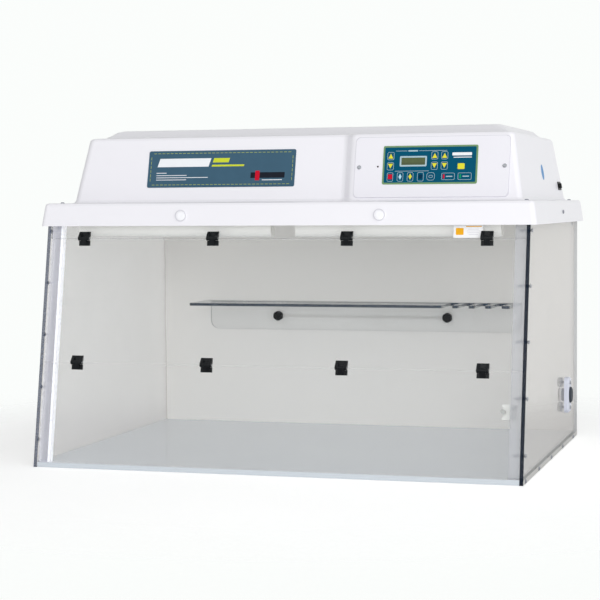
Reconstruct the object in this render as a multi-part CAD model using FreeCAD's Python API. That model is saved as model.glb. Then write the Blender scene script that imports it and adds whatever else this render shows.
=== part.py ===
import FreeCAD, Part
import math
import os

# Bench-top dead air box: a clear box with a leaning bi-fold front, an opaque back wall,
# a polished base and a moulded hood that carries the lamps, their gear and a key panel.
# Frame: X to the right, Y to the rear, Z up. The origin is the middle of the base's
# underside. All lengths are millimetres.

V = FreeCAD.Vector
X_AXIS, Y_AXIS, Z_AXIS = V(1, 0, 0), V(0, 1, 0), V(0, 0, 1)

# Clear box
box_width = 813.0
box_depth = 610.0
wall = 6.0
base_thickness = 8.0
front_lean = math.radians(10.35)
panel_top = 431.0

# Front doors, measured up the leaning front from its foot
door_thickness = 5.0
door_setback = 2.0
door_side_gap = 1.0
door_floor_gap = 2.4
middle_hinge_line = 173.8
upper_hinge_drop = 21.4
hinge_line_gap = 1.5
transom_top_gap = 3.0

# Hinges
hinge_count = 4
hinge_pitch = 226.0
hinge_width = 19.5
leaf_length = 11.7
leaf_thickness = 2.0
leaf_start = 3.4
barrel_radius = 3.6
pin_height = 5.0
hinge_pin_radius = 1.46
hinge_pin_play = 0.04
knuckle_share = 0.48
knuckle_gap = 0.3

# Corner posts behind the doors
post_width = 19.0
post_depth = 12.0
post_gap = 0.5
post_rise = 1.5

# Fasteners
screw_radius = 1.9
screw_play = 0.12
screw_head_radius = 3.4
screw_head_height = 1.9
screw_bite = 13.0
post_screw_first = 43.0
post_screw_top_margin = 10.5
post_screw_count = 5
base_screw_margin = 21.0
base_screw_back_margin = 55.0
base_screw_count = 5

# Hood skirt and ledge
skirt_height = 38.0
hood_sheet = 3.0
skirt_side_overhang = 10.7
skirt_front_overhang = 8.4
skirt_back_overhang = 12.0
skirt_taper = 5.5
skirt_corner_radius = 7.5

# Hood housing above the ledge
ledge_front_width = 60.0
ledge_side_width = 25.7
ledge_back_width = 18.5
housing_height = 110.0
housing_front_lean = 28.0
housing_side_lean = 18.0
housing_back_lean = 32.0
housing_corner_radius = 12.0
crown_rise = 14.5
crown_front_inset = 58.0
crown_side_inset = 31.0
crown_back_inset = 31.0
hood_edge_radius = 4.5

# Raised pod for the key panel, on the right of the housing's front
pod_width = 296.0
pod_depth = 12.0
pod_flank = 15.0
pod_rear_overlap = 20.0
pod_blend = 4.0
pod_corner_radius = 9.0

# Key panel plate, keypad and display
plate_side_margin = 21.0
plate_width = 252.0
plate_foot = 6.0
plate_height = 100.0
plate_thickness = 2.0
plate_corner_radius = 8.0
plate_screw_margin = 7.0
keypad_side_margin = 46.5
keypad_width = 155.0
keypad_foot_margin = 21.0
keypad_height = 64.0
keypad_thickness = 0.9
keypad_corner_radius = 2.5
display_side_margin = 30.5
display_width = 39.0
display_foot_margin = 32.0
display_height = 12.0
display_depth = 6.0
display_recess = 0.4
display_frame_margin = 4.0
display_frame_rise = 1.0
board_margin = 8.0
board_thickness = 1.6
board_gap = 6.0
spacer_radius = 2.6
socket_length = 20.0
socket_width = 8.0
socket_height = 9.0
socket_right_margin = 14.0
socket_low_margin = 18.0
chip_length = 24.0
chip_width = 14.0
chip_height = 3.0
chip_left_margin = 18.0
chip_low_margin = 20.0
led_margin = 38.0
led_height = 57.0
led_radius = 1.5
led_length = 8.0

# Name plate on the left of the housing's front
name_plate_side_margin = 132.5
name_plate_width = 259.0
name_plate_foot = 26.0
name_plate_height = 63.5
name_plate_thickness = 0.8
name_plate_corner_radius = 3.0

# Round plugs in the front of the skirt and screws in its sides
plug_x = 167.0
plug_drop = 21.5
plug_radius = 9.5
plug_crown = 3.0
plug_stem_radius = 5.0
plug_stem_length = 9.0
side_screw_y = 60.0
side_screw_drop = 20.0

# Brackets that tie the hood to the side panels
bracket_thickness = 2.0
bracket_width = 16.0
bracket_drop = 43.0
bracket_flange = 14.0
bracket_front_margin = 26.3
bracket_back_margin = 25.0
bracket_screw_drop = 27.0
ledge_screw_inset = 17.0

# Ceiling tray over the chamber
ceiling_rise = 3.0
ceiling_sheet = 1.2
ceiling_flange = 15.0
ceiling_fit = 0.2

# Lamps behind the transom
lamp_centre_x = 189.0
lamp_length = 337.0
tube_radius = 8.0
tube_setback = 14.0
tube_drop = 12.0
tube_cap_length = 9.0
tube_cap_step = 0.3
tube_pin_radius = 1.2
tube_pin_length = 6.8
tube_pin_spacing = 5.0
holder_thickness = 16.0
holder_depth = 20.0
holder_drop = 9.0
reflector_sheet = 1.0
reflector_gap = 8.0
reflector_height = 22.0
reflector_curl = 11.0
reflector_top_width = 34.0

# Lamp gear on the ceiling tray
ballast_length = 150.0
ballast_width = 38.0
ballast_height = 27.0
ballast_foot_length = 14.0
ballast_foot_thickness = 1.5
ballast_y = 60.0

# Rocker switch in the right side of the housing
switch_back_margin = 51.0
switch_height = 26.0
switch_bezel_length = 30.0
switch_bezel_width = 15.0
switch_bezel_thickness = 1.6
switch_body_margin = 1.5
switch_body_depth = 18.0
rocker_length = 21.0
rocker_width = 8.4
rocker_gap = 0.5
rocker_height = 3.2
rocker_tilt = 6.0
rocker_pivot_depth = 2.0
rocker_pivot_radius = 1.2
rocker_pivot_reach = 0.9
rocker_pivot_play = 0.05
switch_fit = 0.05
rocker_body_drop = 5.0

# Mains inlet in the rear of the housing
inlet_side_margin = 86.0
inlet_fit = 0.22
inlet_height = 45.0
inlet_flange_width = 48.0
inlet_flange_height = 26.0
inlet_flange_thickness = 2.5
inlet_body_width = 27.5
inlet_body_height = 20.0
inlet_body_depth = 22.0
inlet_well_depth = 16.0
inlet_wall = 2.2
inlet_blade_width = 2.0
inlet_blade_height = 4.0
inlet_blade_spacing = 7.0
inlet_blade_recess = 5.5
inlet_screw_spacing = 40.0

# Shelf on the back wall, with a comb of slots at its right end
shelf_half_width = 305.0
shelf_depth = 130.0
shelf_top = 245.5
shelf_thickness = 5.0
shelf_flange_height = 56.5
shelf_flange_corner = 16.0
shelf_bend_radius = 8.0
slot_count = 4
slot_width = 18.0
slot_pitch = 30.0
slot_first = 181.0
slot_depth = 78.0
tongue_radius = 5.5
knob_x = 166.0
knob_drop = 30.0
knob_radius = 9.2
knob_length = 11.0
knob_crown = 3.0
knob_clearance = 0.3
stud_radius = 3.0
stud_play = 0.05
stud_hole_radius = 3.4

# Door switch behind the right post and its magnet on the lower door
door_switch_side_margin = 33.5
door_switch_width = 23.0
door_switch_height = 24.0
door_switch_depth = 11.0
door_switch_centre = 112.0
door_switch_notch = 2.6
door_switch_notch_spacing = 11.0
door_switch_screw_margin = 4.0
door_switch_screw_spacing = 14.0
door_switch_corner = 2.0
magnet_radius = 4.0
magnet_thickness = 2.5
magnet_margin = 4.0

# Cord port low in the right panel, closed with a rubber plug
port_back_margin = 152.0
port_z = 91.0
port_flange_width = 34.0
port_flange_height = 62.0
port_flange_thickness = 8.0
port_flange_corner = 9.0
port_flange_chamfer = 2.0
port_hole_radius = 11.0
port_plug_lip = 3.0
port_plug_crown = 4.0
port_plug_fit = 0.1
port_plug_face = 3.0
port_screw_spacing = 44.0
port_nut_radius = 8.5
port_nut_thickness = 7.5

# Derived values
half_width = box_width / 2
inner_half = half_width - wall
half_depth = box_depth / 2
lean_slope = math.tan(front_lean)
back_face = half_depth - wall

ledge_height = panel_top + hood_sheet
skirt_bottom = ledge_height - skirt_height
ceiling_height = skirt_bottom + ceiling_rise
post_top = skirt_bottom + post_rise
upper_hinge_line = (skirt_bottom - upper_hinge_drop) / math.cos(front_lean)
post_screw_span = post_top - post_screw_top_margin - post_screw_first
post_screw_pitch = post_screw_span / (post_screw_count - 1)
base_screw_span = box_depth - base_screw_margin - base_screw_back_margin
base_screw_pitch = base_screw_span / (base_screw_count - 1)
plug_height = ledge_height - plug_drop
side_screw_height = ledge_height - side_screw_drop
bracket_screw_height = panel_top - bracket_screw_drop
bracket_back_y = half_depth - bracket_back_margin
plate_screw_height = plate_foot + plate_height / 2
keypad_foot = plate_foot + keypad_foot_margin
display_foot = keypad_foot + display_foot_margin
tube_z = ceiling_height - tube_drop
reflector_bottom = ceiling_height - reflector_height
knob_height = shelf_top - knob_drop
door_switch_left = inner_half - door_switch_side_margin
door_switch_screw_x = door_switch_left + door_switch_width - door_switch_screw_margin
magnet_x = door_switch_left + magnet_margin
port_y = half_depth - port_back_margin


def front_y(z):
    """Where the side panels' leaning front edge stands at a height."""
    return -half_depth + lean_slope * z


def door_front_y(z):
    return front_y(z) + door_setback


def door_back_y(z):
    return door_front_y(z) + door_thickness / math.cos(front_lean)


def frame_at(origin, x_axis, y_axis):
    """Placement that carries local X, Y and Z = X x Y to a face of the object."""
    z_axis = x_axis.cross(y_axis)
    return FreeCAD.Placement(origin, FreeCAD.Rotation(x_axis, y_axis, z_axis, "ZXY"))


def placed(shape, placement):
    moved = shape.copy()
    moved.transformShape(placement.toMatrix(), True)
    return moved


def fuse_all(shapes):
    return shapes[0].multiFuse(shapes[1:]).removeSplitter() if len(shapes) > 1 else shapes[0]


def block(x0, x1, y0, y1, z0, z1):
    return Part.makeBox(x1 - x0, y1 - y0, z1 - z0, V(x0, y0, z0))


def rounded_wire(x0, x1, y0, y1, z, radius):
    """Closed rectangle with round corners in a plane of constant height."""
    r = radius
    q = r * (1 - math.sqrt(0.5))
    corners = [
        (V(x1 - r, y0, z), V(x1 - q, y0 + q, z), V(x1, y0 + r, z)),
        (V(x1, y1 - r, z), V(x1 - q, y1 - q, z), V(x1 - r, y1, z)),
        (V(x0 + r, y1, z), V(x0 + q, y1 - q, z), V(x0, y1 - r, z)),
        (V(x0, y0 + r, z), V(x0 + q, y0 + q, z), V(x0 + r, y0, z)),
    ]
    edges = []
    start = corners[3][2]
    for first, middle, last in corners:
        edges.append(Part.LineSegment(start, first).toShape())
        edges.append(Part.Arc(first, middle, last).toShape())
        start = last
    return Part.Wire(edges)


def rounded_plate(x0, x1, y0, y1, z0, z1, radius):
    face = Part.Face(rounded_wire(x0, x1, y0, y1, z0, radius))
    return face.extrude(V(0, 0, z1 - z0))


def prism_x(points, x0, x1):
    """Solid with a polygon given as (y, z) pairs for its section, from x0 to x1."""
    corners = [V(x0, y, z) for y, z in points]
    return Part.Face(Part.makePolygon(corners + corners[:1])).extrude(V(x1 - x0, 0, 0))


def rod(start, direction, length, radius):
    return Part.makeCylinder(radius, length, start, direction)


def turned(profile, origin, axis):
    """Solid of revolution. The profile is (radius, distance along the axis) pairs."""
    corners = [V(r, 0, h) for r, h in profile]
    solid = Part.Face(Part.makePolygon(corners + corners[:1])).revolve(V(0, 0, 0), Z_AXIS, 360)
    turn = FreeCAD.Rotation(Z_AXIS, axis)
    return placed(solid, FreeCAD.Placement(origin, turn))


def screw(seat, outward, length, head_radius=screw_head_radius):
    """Pan-head screw whose head sits on a face at seat and points outward."""
    profile = [
        (0, -length), (screw_radius, -length), (screw_radius, 0), (head_radius, 0),
        (head_radius, screw_head_height * 0.4), (head_radius * 0.6, screw_head_height),
        (0, screw_head_height),
    ]
    return turned(profile, seat, outward)


def screw_hole(seat, outward, length):
    """Hole for one screw, a little longer than the screw at both ends."""
    spare = 1.0
    start = seat + outward * spare
    return rod(start, outward * -1, length + 2 * spare, screw_radius + screw_play)


def save(name, shapes):
    """Write one node. Several solids of one node stay separate in a compound."""
    shape = shapes[0] if len(shapes) == 1 else Part.makeCompound(shapes)
    bad = [s for s in shape.Solids if not s.isValid()]
    print(name, len(shape.Solids), "solids", round(shape.Volume, 1), "invalid" if bad else "ok")
    shape.exportStep("parts/" + name + ".step")


bracket_front_y = front_y(panel_top) + bracket_front_margin
reflector_front_y = door_back_y(ceiling_height) + reflector_gap
tube_y = reflector_front_y + tube_setback

# Frames on the leaning front and on the housing's faces
door_frame = frame_at(V(0, door_front_y(0), 0), X_AXIS, V(0, math.sin(front_lean), math.cos(front_lean)))

skirt_front_bottom = front_y(skirt_bottom) - skirt_front_overhang
skirt_half = half_width + skirt_side_overhang
skirt_back = half_depth + skirt_back_overhang
ledge_front = skirt_front_bottom + skirt_taper
ledge_half = skirt_half - skirt_taper
ledge_back = skirt_back - skirt_taper
housing_front = ledge_front + ledge_front_width
housing_half = ledge_half - ledge_side_width
housing_back = ledge_back - ledge_back_width
shoulder_height = ledge_height + housing_height
shoulder_front = housing_front + housing_front_lean
shoulder_half = housing_half - housing_side_lean
shoulder_back = housing_back - housing_back_lean
switch_y = housing_back - switch_back_margin
inlet_x = housing_half - inlet_side_margin
pod_left = housing_half - pod_width
plate_left = pod_left + plate_side_margin
keypad_left = plate_left + keypad_side_margin
display_left = keypad_left + display_side_margin
led_x = plate_left + led_margin
name_plate_left = -housing_half + name_plate_side_margin

front_angle = math.atan2(housing_front_lean, housing_height)
side_angle = math.atan2(housing_side_lean, housing_height)
back_angle = math.atan2(housing_back_lean, housing_height)
skirt_angle = math.atan2(skirt_taper, skirt_height)

up_front = V(0, math.sin(front_angle), math.cos(front_angle))
main_face = frame_at(V(0, housing_front, ledge_height), X_AXIS, up_front)
pod_face = frame_at(V(0, housing_front - pod_depth, ledge_height), X_AXIS, up_front)
up_side = V(-math.sin(side_angle), 0, math.cos(side_angle))
side_face = frame_at(V(housing_half, 0, ledge_height), Y_AXIS, up_side)
up_back = V(0, -math.sin(back_angle), math.cos(back_angle))
back_face_frame = frame_at(V(0, housing_back, ledge_height), V(-1, 0, 0), up_back)


# Clear box

def post_section(z):
    """Front and back of a corner post at a height."""
    front = door_back_y(z) + post_gap
    return front, front + post_depth


def post_screw_seats(side):
    seats = []
    for i in range(post_screw_count):
        z = post_screw_first + i * post_screw_pitch
        front, back = post_section(z)
        seats.append(V(side * half_width, (front + back) / 2, z))
    return seats


def base_screw_seats(side):
    first = -half_depth + base_screw_margin
    return [V(side * half_width, first + i * base_screw_pitch, base_thickness / 2)
            for i in range(base_screw_count)]


def bracket_screw_seats(side):
    return [V(side * half_width, y, bracket_screw_height) for y in (bracket_front_y, bracket_back_y)]


def skirt_x(z):
    """Outside of the skirt's side at a height."""
    return skirt_half - skirt_taper * (z - skirt_bottom) / skirt_height


def side_screw_seat(side):
    """The head's lower edge touches the tapered skirt."""
    x = skirt_x(side_screw_height - screw_head_radius)
    return V(side * x, side_screw_y, side_screw_height)


wall_screw_length = wall + screw_bite
bracket_screw_length = wall + bracket_thickness + ceiling_sheet + 2.0
side_screw_length = side_screw_seat(1).x - inner_half - 0.5


def base_panel():
    panel = block(-inner_half, inner_half, -half_depth + door_setback, half_depth, 0, base_thickness)
    holes = [screw_hole(seat, X_AXIS * side, wall_screw_length)
             for side in (-1, 1) for seat in base_screw_seats(side)]
    return panel.cut(holes)


def port_screw_seats():
    """The port's two screws sit above and below its plug."""
    x = half_width + port_flange_thickness
    return [V(x, port_y, port_z + way * port_screw_spacing / 2) for way in (-1, 1)]


port_screw_length = port_flange_thickness + wall + port_nut_thickness - 0.5


def side_panel(side):
    outline = [(-half_depth, 0), (half_depth, 0), (half_depth, panel_top), (front_y(panel_top), panel_top)]
    panel = prism_x(outline, side * inner_half, side * half_width)
    seats = post_screw_seats(side) + base_screw_seats(side) + bracket_screw_seats(side)
    holes = [screw_hole(seat, X_AXIS * side, wall_screw_length) for seat in seats]
    holes.append(screw_hole(side_screw_seat(side), X_AXIS * side, side_screw_length))
    if side > 0:
        holes.append(rod(V(inner_half - 1, port_y, port_z), X_AXIS, wall + 2, port_hole_radius))
        holes += [screw_hole(seat, X_AXIS, port_screw_length) for seat in port_screw_seats()]
    return panel.cut(holes)


def knob_axes():
    return [V(side * knob_x, back_face, knob_height) for side in (-1, 1)]


def back_panel():
    panel = block(-inner_half, inner_half, back_face, half_depth, base_thickness, panel_top)
    holes = [rod(axis + V(0, -1, 0), Y_AXIS, wall + 2, stud_radius + stud_play) for axis in knob_axes()]
    return panel.cut(holes)


def corner_post(side):
    low_front, low_back = post_section(base_thickness)
    top_front, top_back = post_section(post_top)
    outline = [(low_front, base_thickness), (low_back, base_thickness), (top_back, post_top),
               (top_front, post_top)]
    post = prism_x(outline, side * (inner_half - post_width), side * inner_half)
    holes = [screw_hole(seat, X_AXIS * side, wall_screw_length) for seat in post_screw_seats(side)]
    if side > 0:
        holes += door_switch_screw_tools()
    return post.cut(holes)


def transom_panel():
    low = upper_hinge_line + hinge_line_gap / 2
    high = (panel_top - transom_top_gap) / math.cos(front_lean)
    panel = block(-inner_half, inner_half, low, high, -door_thickness, 0)
    return placed(panel, door_frame)


def door_panel(low, high):
    half = inner_half - door_side_gap
    edge = 0.8
    panel = block(-half, half, low, high, -door_thickness, 0)
    sides = [e for e in panel.Edges if abs(e.BoundBox.ZLength - door_thickness) < 1e-6]
    panel = panel.makeFillet(edge, sides)
    return placed(panel, door_frame)


lower_door_foot = base_thickness / math.cos(front_lean) + door_floor_gap
lower_door_top = middle_hinge_line - hinge_line_gap / 2
upper_door_foot = middle_hinge_line + hinge_line_gap / 2
upper_door_top = upper_hinge_line - hinge_line_gap / 2


# Hinges, drawn about the pin: local Y runs up the door and local Z away from its face

def hinge_centres(line):
    first = -hinge_pitch * (hinge_count - 1) / 2
    return [V(first + i * hinge_pitch, line, 0) for i in range(hinge_count)]


def knuckle_spans(middle):
    """X spans of one leaf's knuckles: the middle one, or the two outer ones."""
    half = hinge_width / 2
    inner = half * knuckle_share
    if middle:
        return [(-inner, inner)]
    return [(-half, -inner - knuckle_gap), (inner + knuckle_gap, half)]


def hinge_leaf(way, middle):
    """One leaf. It reaches up the door with way 1 and down with way -1."""
    half = hinge_width / 2
    plate = block(-half, half, leaf_start, leaf_length, 0, leaf_thickness)
    reach = math.hypot(leaf_length, pin_height - leaf_thickness)
    to_pin = math.atan2(pin_height - leaf_thickness, -leaf_length)
    tangent = to_pin - math.asin(barrel_radius / reach)
    touch = math.sqrt(reach ** 2 - barrel_radius ** 2)
    crest = (leaf_length + touch * math.cos(tangent), leaf_thickness + touch * math.sin(tangent))
    root = (barrel_radius * 0.5, pin_height - barrel_radius * math.sqrt(0.75))
    outline = [(leaf_length, 0), (leaf_length, leaf_thickness), crest, (0, pin_height), root, (leaf_start, 0)]
    parts = [plate]
    for x0, x1 in knuckle_spans(middle):
        parts.append(prism_x(outline, x0, x1))
        parts.append(rod(V(x0, 0, pin_height), X_AXIS, x1 - x0, barrel_radius))
    leaf = fuse_all(parts)
    bore = rod(V(-half - 1, 0, pin_height), X_AXIS, hinge_width + 2, hinge_pin_radius + hinge_pin_play)
    leaf = leaf.cut(bore)
    return leaf if way > 0 else leaf.mirror(V(0, 0, 0), Y_AXIS)


def hinge_row(shape, line):
    row = []
    for centre in hinge_centres(line):
        copy = shape.copy()
        copy.translate(centre)
        row.append(placed(copy, door_frame))
    return row


def hinge_pin():
    half = hinge_width / 2
    return rod(V(-half, 0, pin_height), X_AXIS, hinge_width, hinge_pin_radius)


# Hood: a thin moulded shell, open below

def rounding(radius):
    """Steps round a quarter circle, as (inward, below) distances from a sharp edge."""
    angles = [math.radians(step * 45) for step in range(3)]
    return [(radius * (1 - math.cos(a)), radius * (math.sin(a) - 1)) for a in angles]


def skirt_section(z, inset):
    """Outline of the skirt at a height, drawn in by an inset."""
    inward = inset + skirt_taper * (z - skirt_bottom) / skirt_height
    return rounded_wire(-skirt_half + inward, skirt_half - inward, skirt_front_bottom + inward,
                        skirt_back - inward, z, skirt_corner_radius - min(inset, hood_sheet))


def housing_section(rise, inset, z_shift):
    """Outline of the housing at a rise above the ledge, drawn in by an inset."""
    share = rise / housing_height
    half = housing_half - housing_side_lean * share - inset
    front = housing_front + housing_front_lean * share + inset
    back = housing_back - housing_back_lean * share - inset
    return rounded_wire(-half, half, front, back, ledge_height + rise + z_shift, housing_corner_radius)


def hood_form(inset):
    """Solid form of the hood, drawn in from its outside by a wall thickness."""
    edge = hood_edge_radius - inset
    foot_drop = 2 * inset
    skirt = [skirt_section(skirt_bottom - foot_drop, inset)]
    for inward, below in rounding(edge):
        skirt.append(skirt_section(ledge_height - inset + below, inset + inward))

    housing = []
    for inward, below in rounding(hood_edge_radius):
        housing.append(housing_section(inward, inset + below, -inset))
    for inward, below in rounding(edge):
        housing.append(housing_section(housing_height + below, inset + inward, -inset))

    # The crown starts nearly flat at the shoulder and curves up to the plateau
    crown = []
    for share_in, share_up in ((0.0, 0.0), (0.4, 0.12), (0.6, 0.45), (0.8, 0.85), (1.0, 1.0)):
        side = shoulder_half - inset - edge - crown_side_inset * share_in
        front = shoulder_front + inset + edge + crown_front_inset * share_in
        back = shoulder_back - inset - edge - crown_back_inset * share_in
        crown.append(rounded_wire(-side, side, front, back,
                                  shoulder_height - inset + crown_rise * share_up,
                                  housing_corner_radius))
    lofts = [Part.makeLoft(sections, True, True) for sections in (skirt, housing, crown)]
    return fuse_all(lofts + [pod_form(inset)])


def pod_section(rise, inset, z_shift):
    """Outline of the pod: a blend off the main face, a sloping flank and a flat front."""
    share = rise / housing_height
    z = ledge_height + rise + z_shift
    main = housing_front + housing_front_lean * share + inset
    face = main - pod_depth
    rear = main + pod_rear_overlap
    right = housing_half - housing_side_lean * share - inset
    left = pod_left + inset
    blend = pod_blend
    along = blend / math.hypot(pod_flank, pod_depth)
    flank_low = V(left + pod_flank * along, main - pod_depth * along, z)
    flank_high = V(left + pod_flank * (1 - along), face + pod_depth * along, z)
    turn_in = math.tan(math.atan2(pod_depth, pod_flank) / 4)
    sag = blend * turn_in * pod_depth / math.hypot(pod_flank, pod_depth)
    low_middle = (V(left - blend, main, z) + flank_low) * 0.5 + V(0.35, 1, 0) * sag
    high_middle = (flank_high + V(left + pod_flank + blend, face, z)) * 0.5 - V(0.35, 1, 0) * sag
    r = pod_corner_radius
    q = r * (1 - math.sqrt(0.5))
    arcs = [(V(left - blend, main, z), low_middle, flank_low),
            (flank_high, high_middle, V(left + pod_flank + blend, face, z)),
            (V(right - r, face, z), V(right - q, face + q, z), V(right, face + r, z))]
    edges = []
    start = V(left - blend, rear, z)
    for first, middle, last in arcs:
        edges.append(Part.LineSegment(start, first).toShape())
        edges.append(Part.Arc(first, middle, last).toShape())
        start = last
    edges.append(Part.LineSegment(start, V(right, rear, z)).toShape())
    edges.append(Part.LineSegment(V(right, rear, z), V(left - blend, rear, z)).toShape())
    return Part.Wire(edges)


def pod_form(inset):
    """Raised part of the housing's front, rounded at its foot and at its top."""
    sections = []
    for inward, below in rounding(hood_edge_radius):
        sections.append(pod_section(inward, inset + below, -inset))
    for inward, below in rounding(hood_edge_radius - inset):
        sections.append(pod_section(housing_height + below, inset + inward, -inset))
    return Part.makeLoft(sections, True, True)


def ledge_screw_seats():
    x = ledge_half - ledge_screw_inset
    return [V(side * x, y, ledge_height) for side in (-1, 1) for y in (bracket_front_y, bracket_back_y)]


def plug_seats():
    y = skirt_front_bottom + skirt_taper * (plug_height - skirt_bottom) / skirt_height
    return [V(side * plug_x, y, plug_height) for side in (-1, 1)]


plug_outward = V(0, -math.cos(skirt_angle), math.sin(skirt_angle))
ledge_screw_length = hood_sheet + bracket_thickness + 3.0
plate_screw_length = plate_thickness + hood_sheet + 3.0


def plate_screw_points(z):
    return [V(plate_left + plate_screw_margin, plate_screw_height, z),
            V(plate_left + plate_width - plate_screw_margin, plate_screw_height, z)]


def pod_tool(shape):
    return placed(shape, pod_face)


def plate_screw_tools():
    return [pod_tool(screw_hole(point, Z_AXIS, plate_screw_length))
            for point in plate_screw_points(plate_thickness)]


def led_hole():
    return pod_tool(rod(V(led_x, led_height, -led_length), Z_AXIS, 2 * led_length, led_radius + screw_play))


board_left = keypad_left + board_margin
board_right = keypad_left + keypad_width - board_margin
board_low = keypad_foot + board_margin / 2
board_high = keypad_foot + keypad_height - board_margin / 2
board_top = -hood_sheet - board_gap


def spacer_points(z):
    inset = spacer_radius * 2
    return [V(x, y, z) for x in (board_left + inset, board_right - inset)
            for y in (board_low + inset, board_high - inset)]


def hood_shell():
    shell = hood_form(0).cut(hood_form(hood_sheet))
    tools = [screw_hole(seat, Z_AXIS, ledge_screw_length) for seat in ledge_screw_seats()]
    tools += [screw_hole(side_screw_seat(side), X_AXIS * side, side_screw_length) for side in (-1, 1)]
    plug_reach = plug_crown + plug_stem_length
    tools += [rod(seat + plug_outward * plug_crown, plug_outward * -1, plug_reach,
                  plug_stem_radius + screw_play) for seat in plug_seats()]
    tools += plate_screw_tools()
    tools.append(led_hole())
    tools.append(pod_tool(block(board_left, board_right, board_low, board_high,
                                -2 * hood_sheet, hood_sheet)))
    half_l = switch_bezel_length / 2 - switch_body_margin + switch_fit
    half_w = switch_bezel_width / 2 - switch_body_margin + switch_fit
    tools.append(placed(block(switch_y - half_l, switch_y + half_l, switch_height - half_w,
                              switch_height + half_w, -3 * hood_sheet, hood_sheet), side_face))
    fit = inlet_fit
    tools.append(placed(block(-inlet_x - inlet_body_width / 2 - fit, -inlet_x + inlet_body_width / 2 + fit,
                              inlet_height - inlet_body_height / 2 - fit,
                              inlet_height + inlet_body_height / 2 + fit,
                              -3 * hood_sheet, hood_sheet), back_face_frame))
    tools += [placed(tool, back_face_frame) for tool in inlet_screw_holes()]
    return shell.cut(tools)


def bracket(side, y):
    """Folded strip: one leg down the side panel, one flange under the ledge."""
    y0, y1 = y - bracket_width / 2, y + bracket_width / 2
    top = ledge_height - hood_sheet
    outline_x = [inner_half, inner_half, inner_half - bracket_flange, inner_half - bracket_flange,
                 inner_half - bracket_thickness, inner_half - bracket_thickness]
    outline_z = [top - bracket_drop, top, top, top - bracket_thickness, top - bracket_thickness,
                 top - bracket_drop]
    corners = [V(side * x, y0, z) for x, z in zip(outline_x, outline_z)]
    strip = Part.Face(Part.makePolygon(corners + corners[:1])).extrude(V(0, y1 - y0, 0))
    holes = [screw_hole(seat, X_AXIS * side, bracket_screw_length) for seat in bracket_screw_seats(side)]
    return strip.cut(holes)


def ceiling_tray():
    """Sheet tray with its four sides folded up; the front one follows the transom."""
    low, high = ceiling_height, ceiling_height + ceiling_flange
    half = inner_half - bracket_thickness
    s = ceiling_sheet
    y_low, y_high = door_back_y(low) + ceiling_fit, door_back_y(high) + ceiling_fit
    rise = (y_high - y_low) / (high - low)
    spare = 1.0
    outer = prism_x([(y_low, low), (back_face, low), (back_face, high), (y_high, high)], -half, half)
    inner = prism_x([(y_low + rise * s + s, low + s), (back_face - s, low + s),
                     (back_face - s, high + spare), (y_high + rise * spare + s, high + spare)],
                    -half + s, half - s)
    holes = [screw_hole(seat, X_AXIS * side, bracket_screw_length)
             for side in (-1, 1) for seat in bracket_screw_seats(side)]
    return outer.cut([inner] + holes)


# Plates, keypad, display and board on the housing's front

def control_plate():
    plate = rounded_plate(plate_left, plate_left + plate_width, plate_foot, plate_foot + plate_height,
                          0, plate_thickness, plate_corner_radius)
    window = block(display_left, display_left + display_width, display_foot,
                   display_foot + display_height, -1, plate_thickness + 1)
    plate = placed(plate.cut(window), pod_face)
    return plate.cut(plate_screw_tools() + [led_hole()])


def keypad():
    z0, z1 = plate_thickness, plate_thickness + keypad_thickness
    sheet = rounded_plate(keypad_left, keypad_left + keypad_width, keypad_foot,
                          keypad_foot + keypad_height, z0, z1, keypad_corner_radius)
    window = block(display_left, display_left + display_width, display_foot,
                   display_foot + display_height, z0 - 1, z1 + 1)
    return placed(sheet.cut(window), pod_face)


def display_module():
    """Glass-faced display that stands on the board and looks through the plate."""
    fit = screw_play
    top = plate_thickness + keypad_thickness - display_recess
    stem = block(display_left + fit, display_left + display_width - fit, display_foot + fit,
                 display_foot + display_height - fit, -display_depth, top)
    margin = display_frame_margin
    frame = block(display_left - margin, display_left + display_width + margin, display_foot - margin,
                  display_foot + display_height + margin, board_top, -display_depth + display_frame_rise)
    return placed(fuse_all([stem, frame]), pod_face)


def control_board():
    board = block(board_left, board_right, board_low, board_high, board_top - board_thickness, board_top)
    holes = [rod(point, Z_AXIS, 3 * board_thickness, screw_radius)
             for point in spacer_points(board_top - 2 * board_thickness)]
    rear = board_top - board_thickness
    socket_right = board_right - socket_right_margin
    socket_low = board_low + socket_low_margin
    socket = block(socket_right - socket_length, socket_right, socket_low, socket_low + socket_width,
                   rear - socket_height, rear)
    chip_left = board_left + chip_left_margin
    chip_low = board_low + chip_low_margin
    chip = block(chip_left, chip_left + chip_length, chip_low, chip_low + chip_width,
                 rear - chip_height, rear)
    return placed(fuse_all([board.cut(holes), socket, chip]), pod_face)


def board_spacers():
    """Hexagonal spacers stand between the board and the back of the plate."""
    spacers = []
    for point in spacer_points(board_top):
        corners = [point + V(math.cos(a), math.sin(a), 0) * spacer_radius
                   for a in (math.radians(60 * i) for i in range(7))]
        post = Part.Face(Part.makePolygon(corners)).extrude(V(0, 0, -board_top))
        spigot = rod(point - V(0, 0, board_thickness), Z_AXIS, board_thickness, screw_radius - screw_play)
        spacers.append(placed(fuse_all([post, spigot]), pod_face))
    return spacers


def status_light():
    base = V(led_x, led_height, plate_thickness + 0.6)
    profile = [(0, -led_length), (led_radius, -led_length), (led_radius, -0.6), (led_radius * 0.8, -0.2),
               (led_radius * 0.4, 0), (0, 0)]
    return placed(turned(profile, base, Z_AXIS), pod_face)


def name_plate():
    plate = rounded_plate(name_plate_left, name_plate_left + name_plate_width, name_plate_foot,
                          name_plate_foot + name_plate_height, 0, name_plate_thickness,
                          name_plate_corner_radius)
    return placed(plate, main_face)


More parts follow.
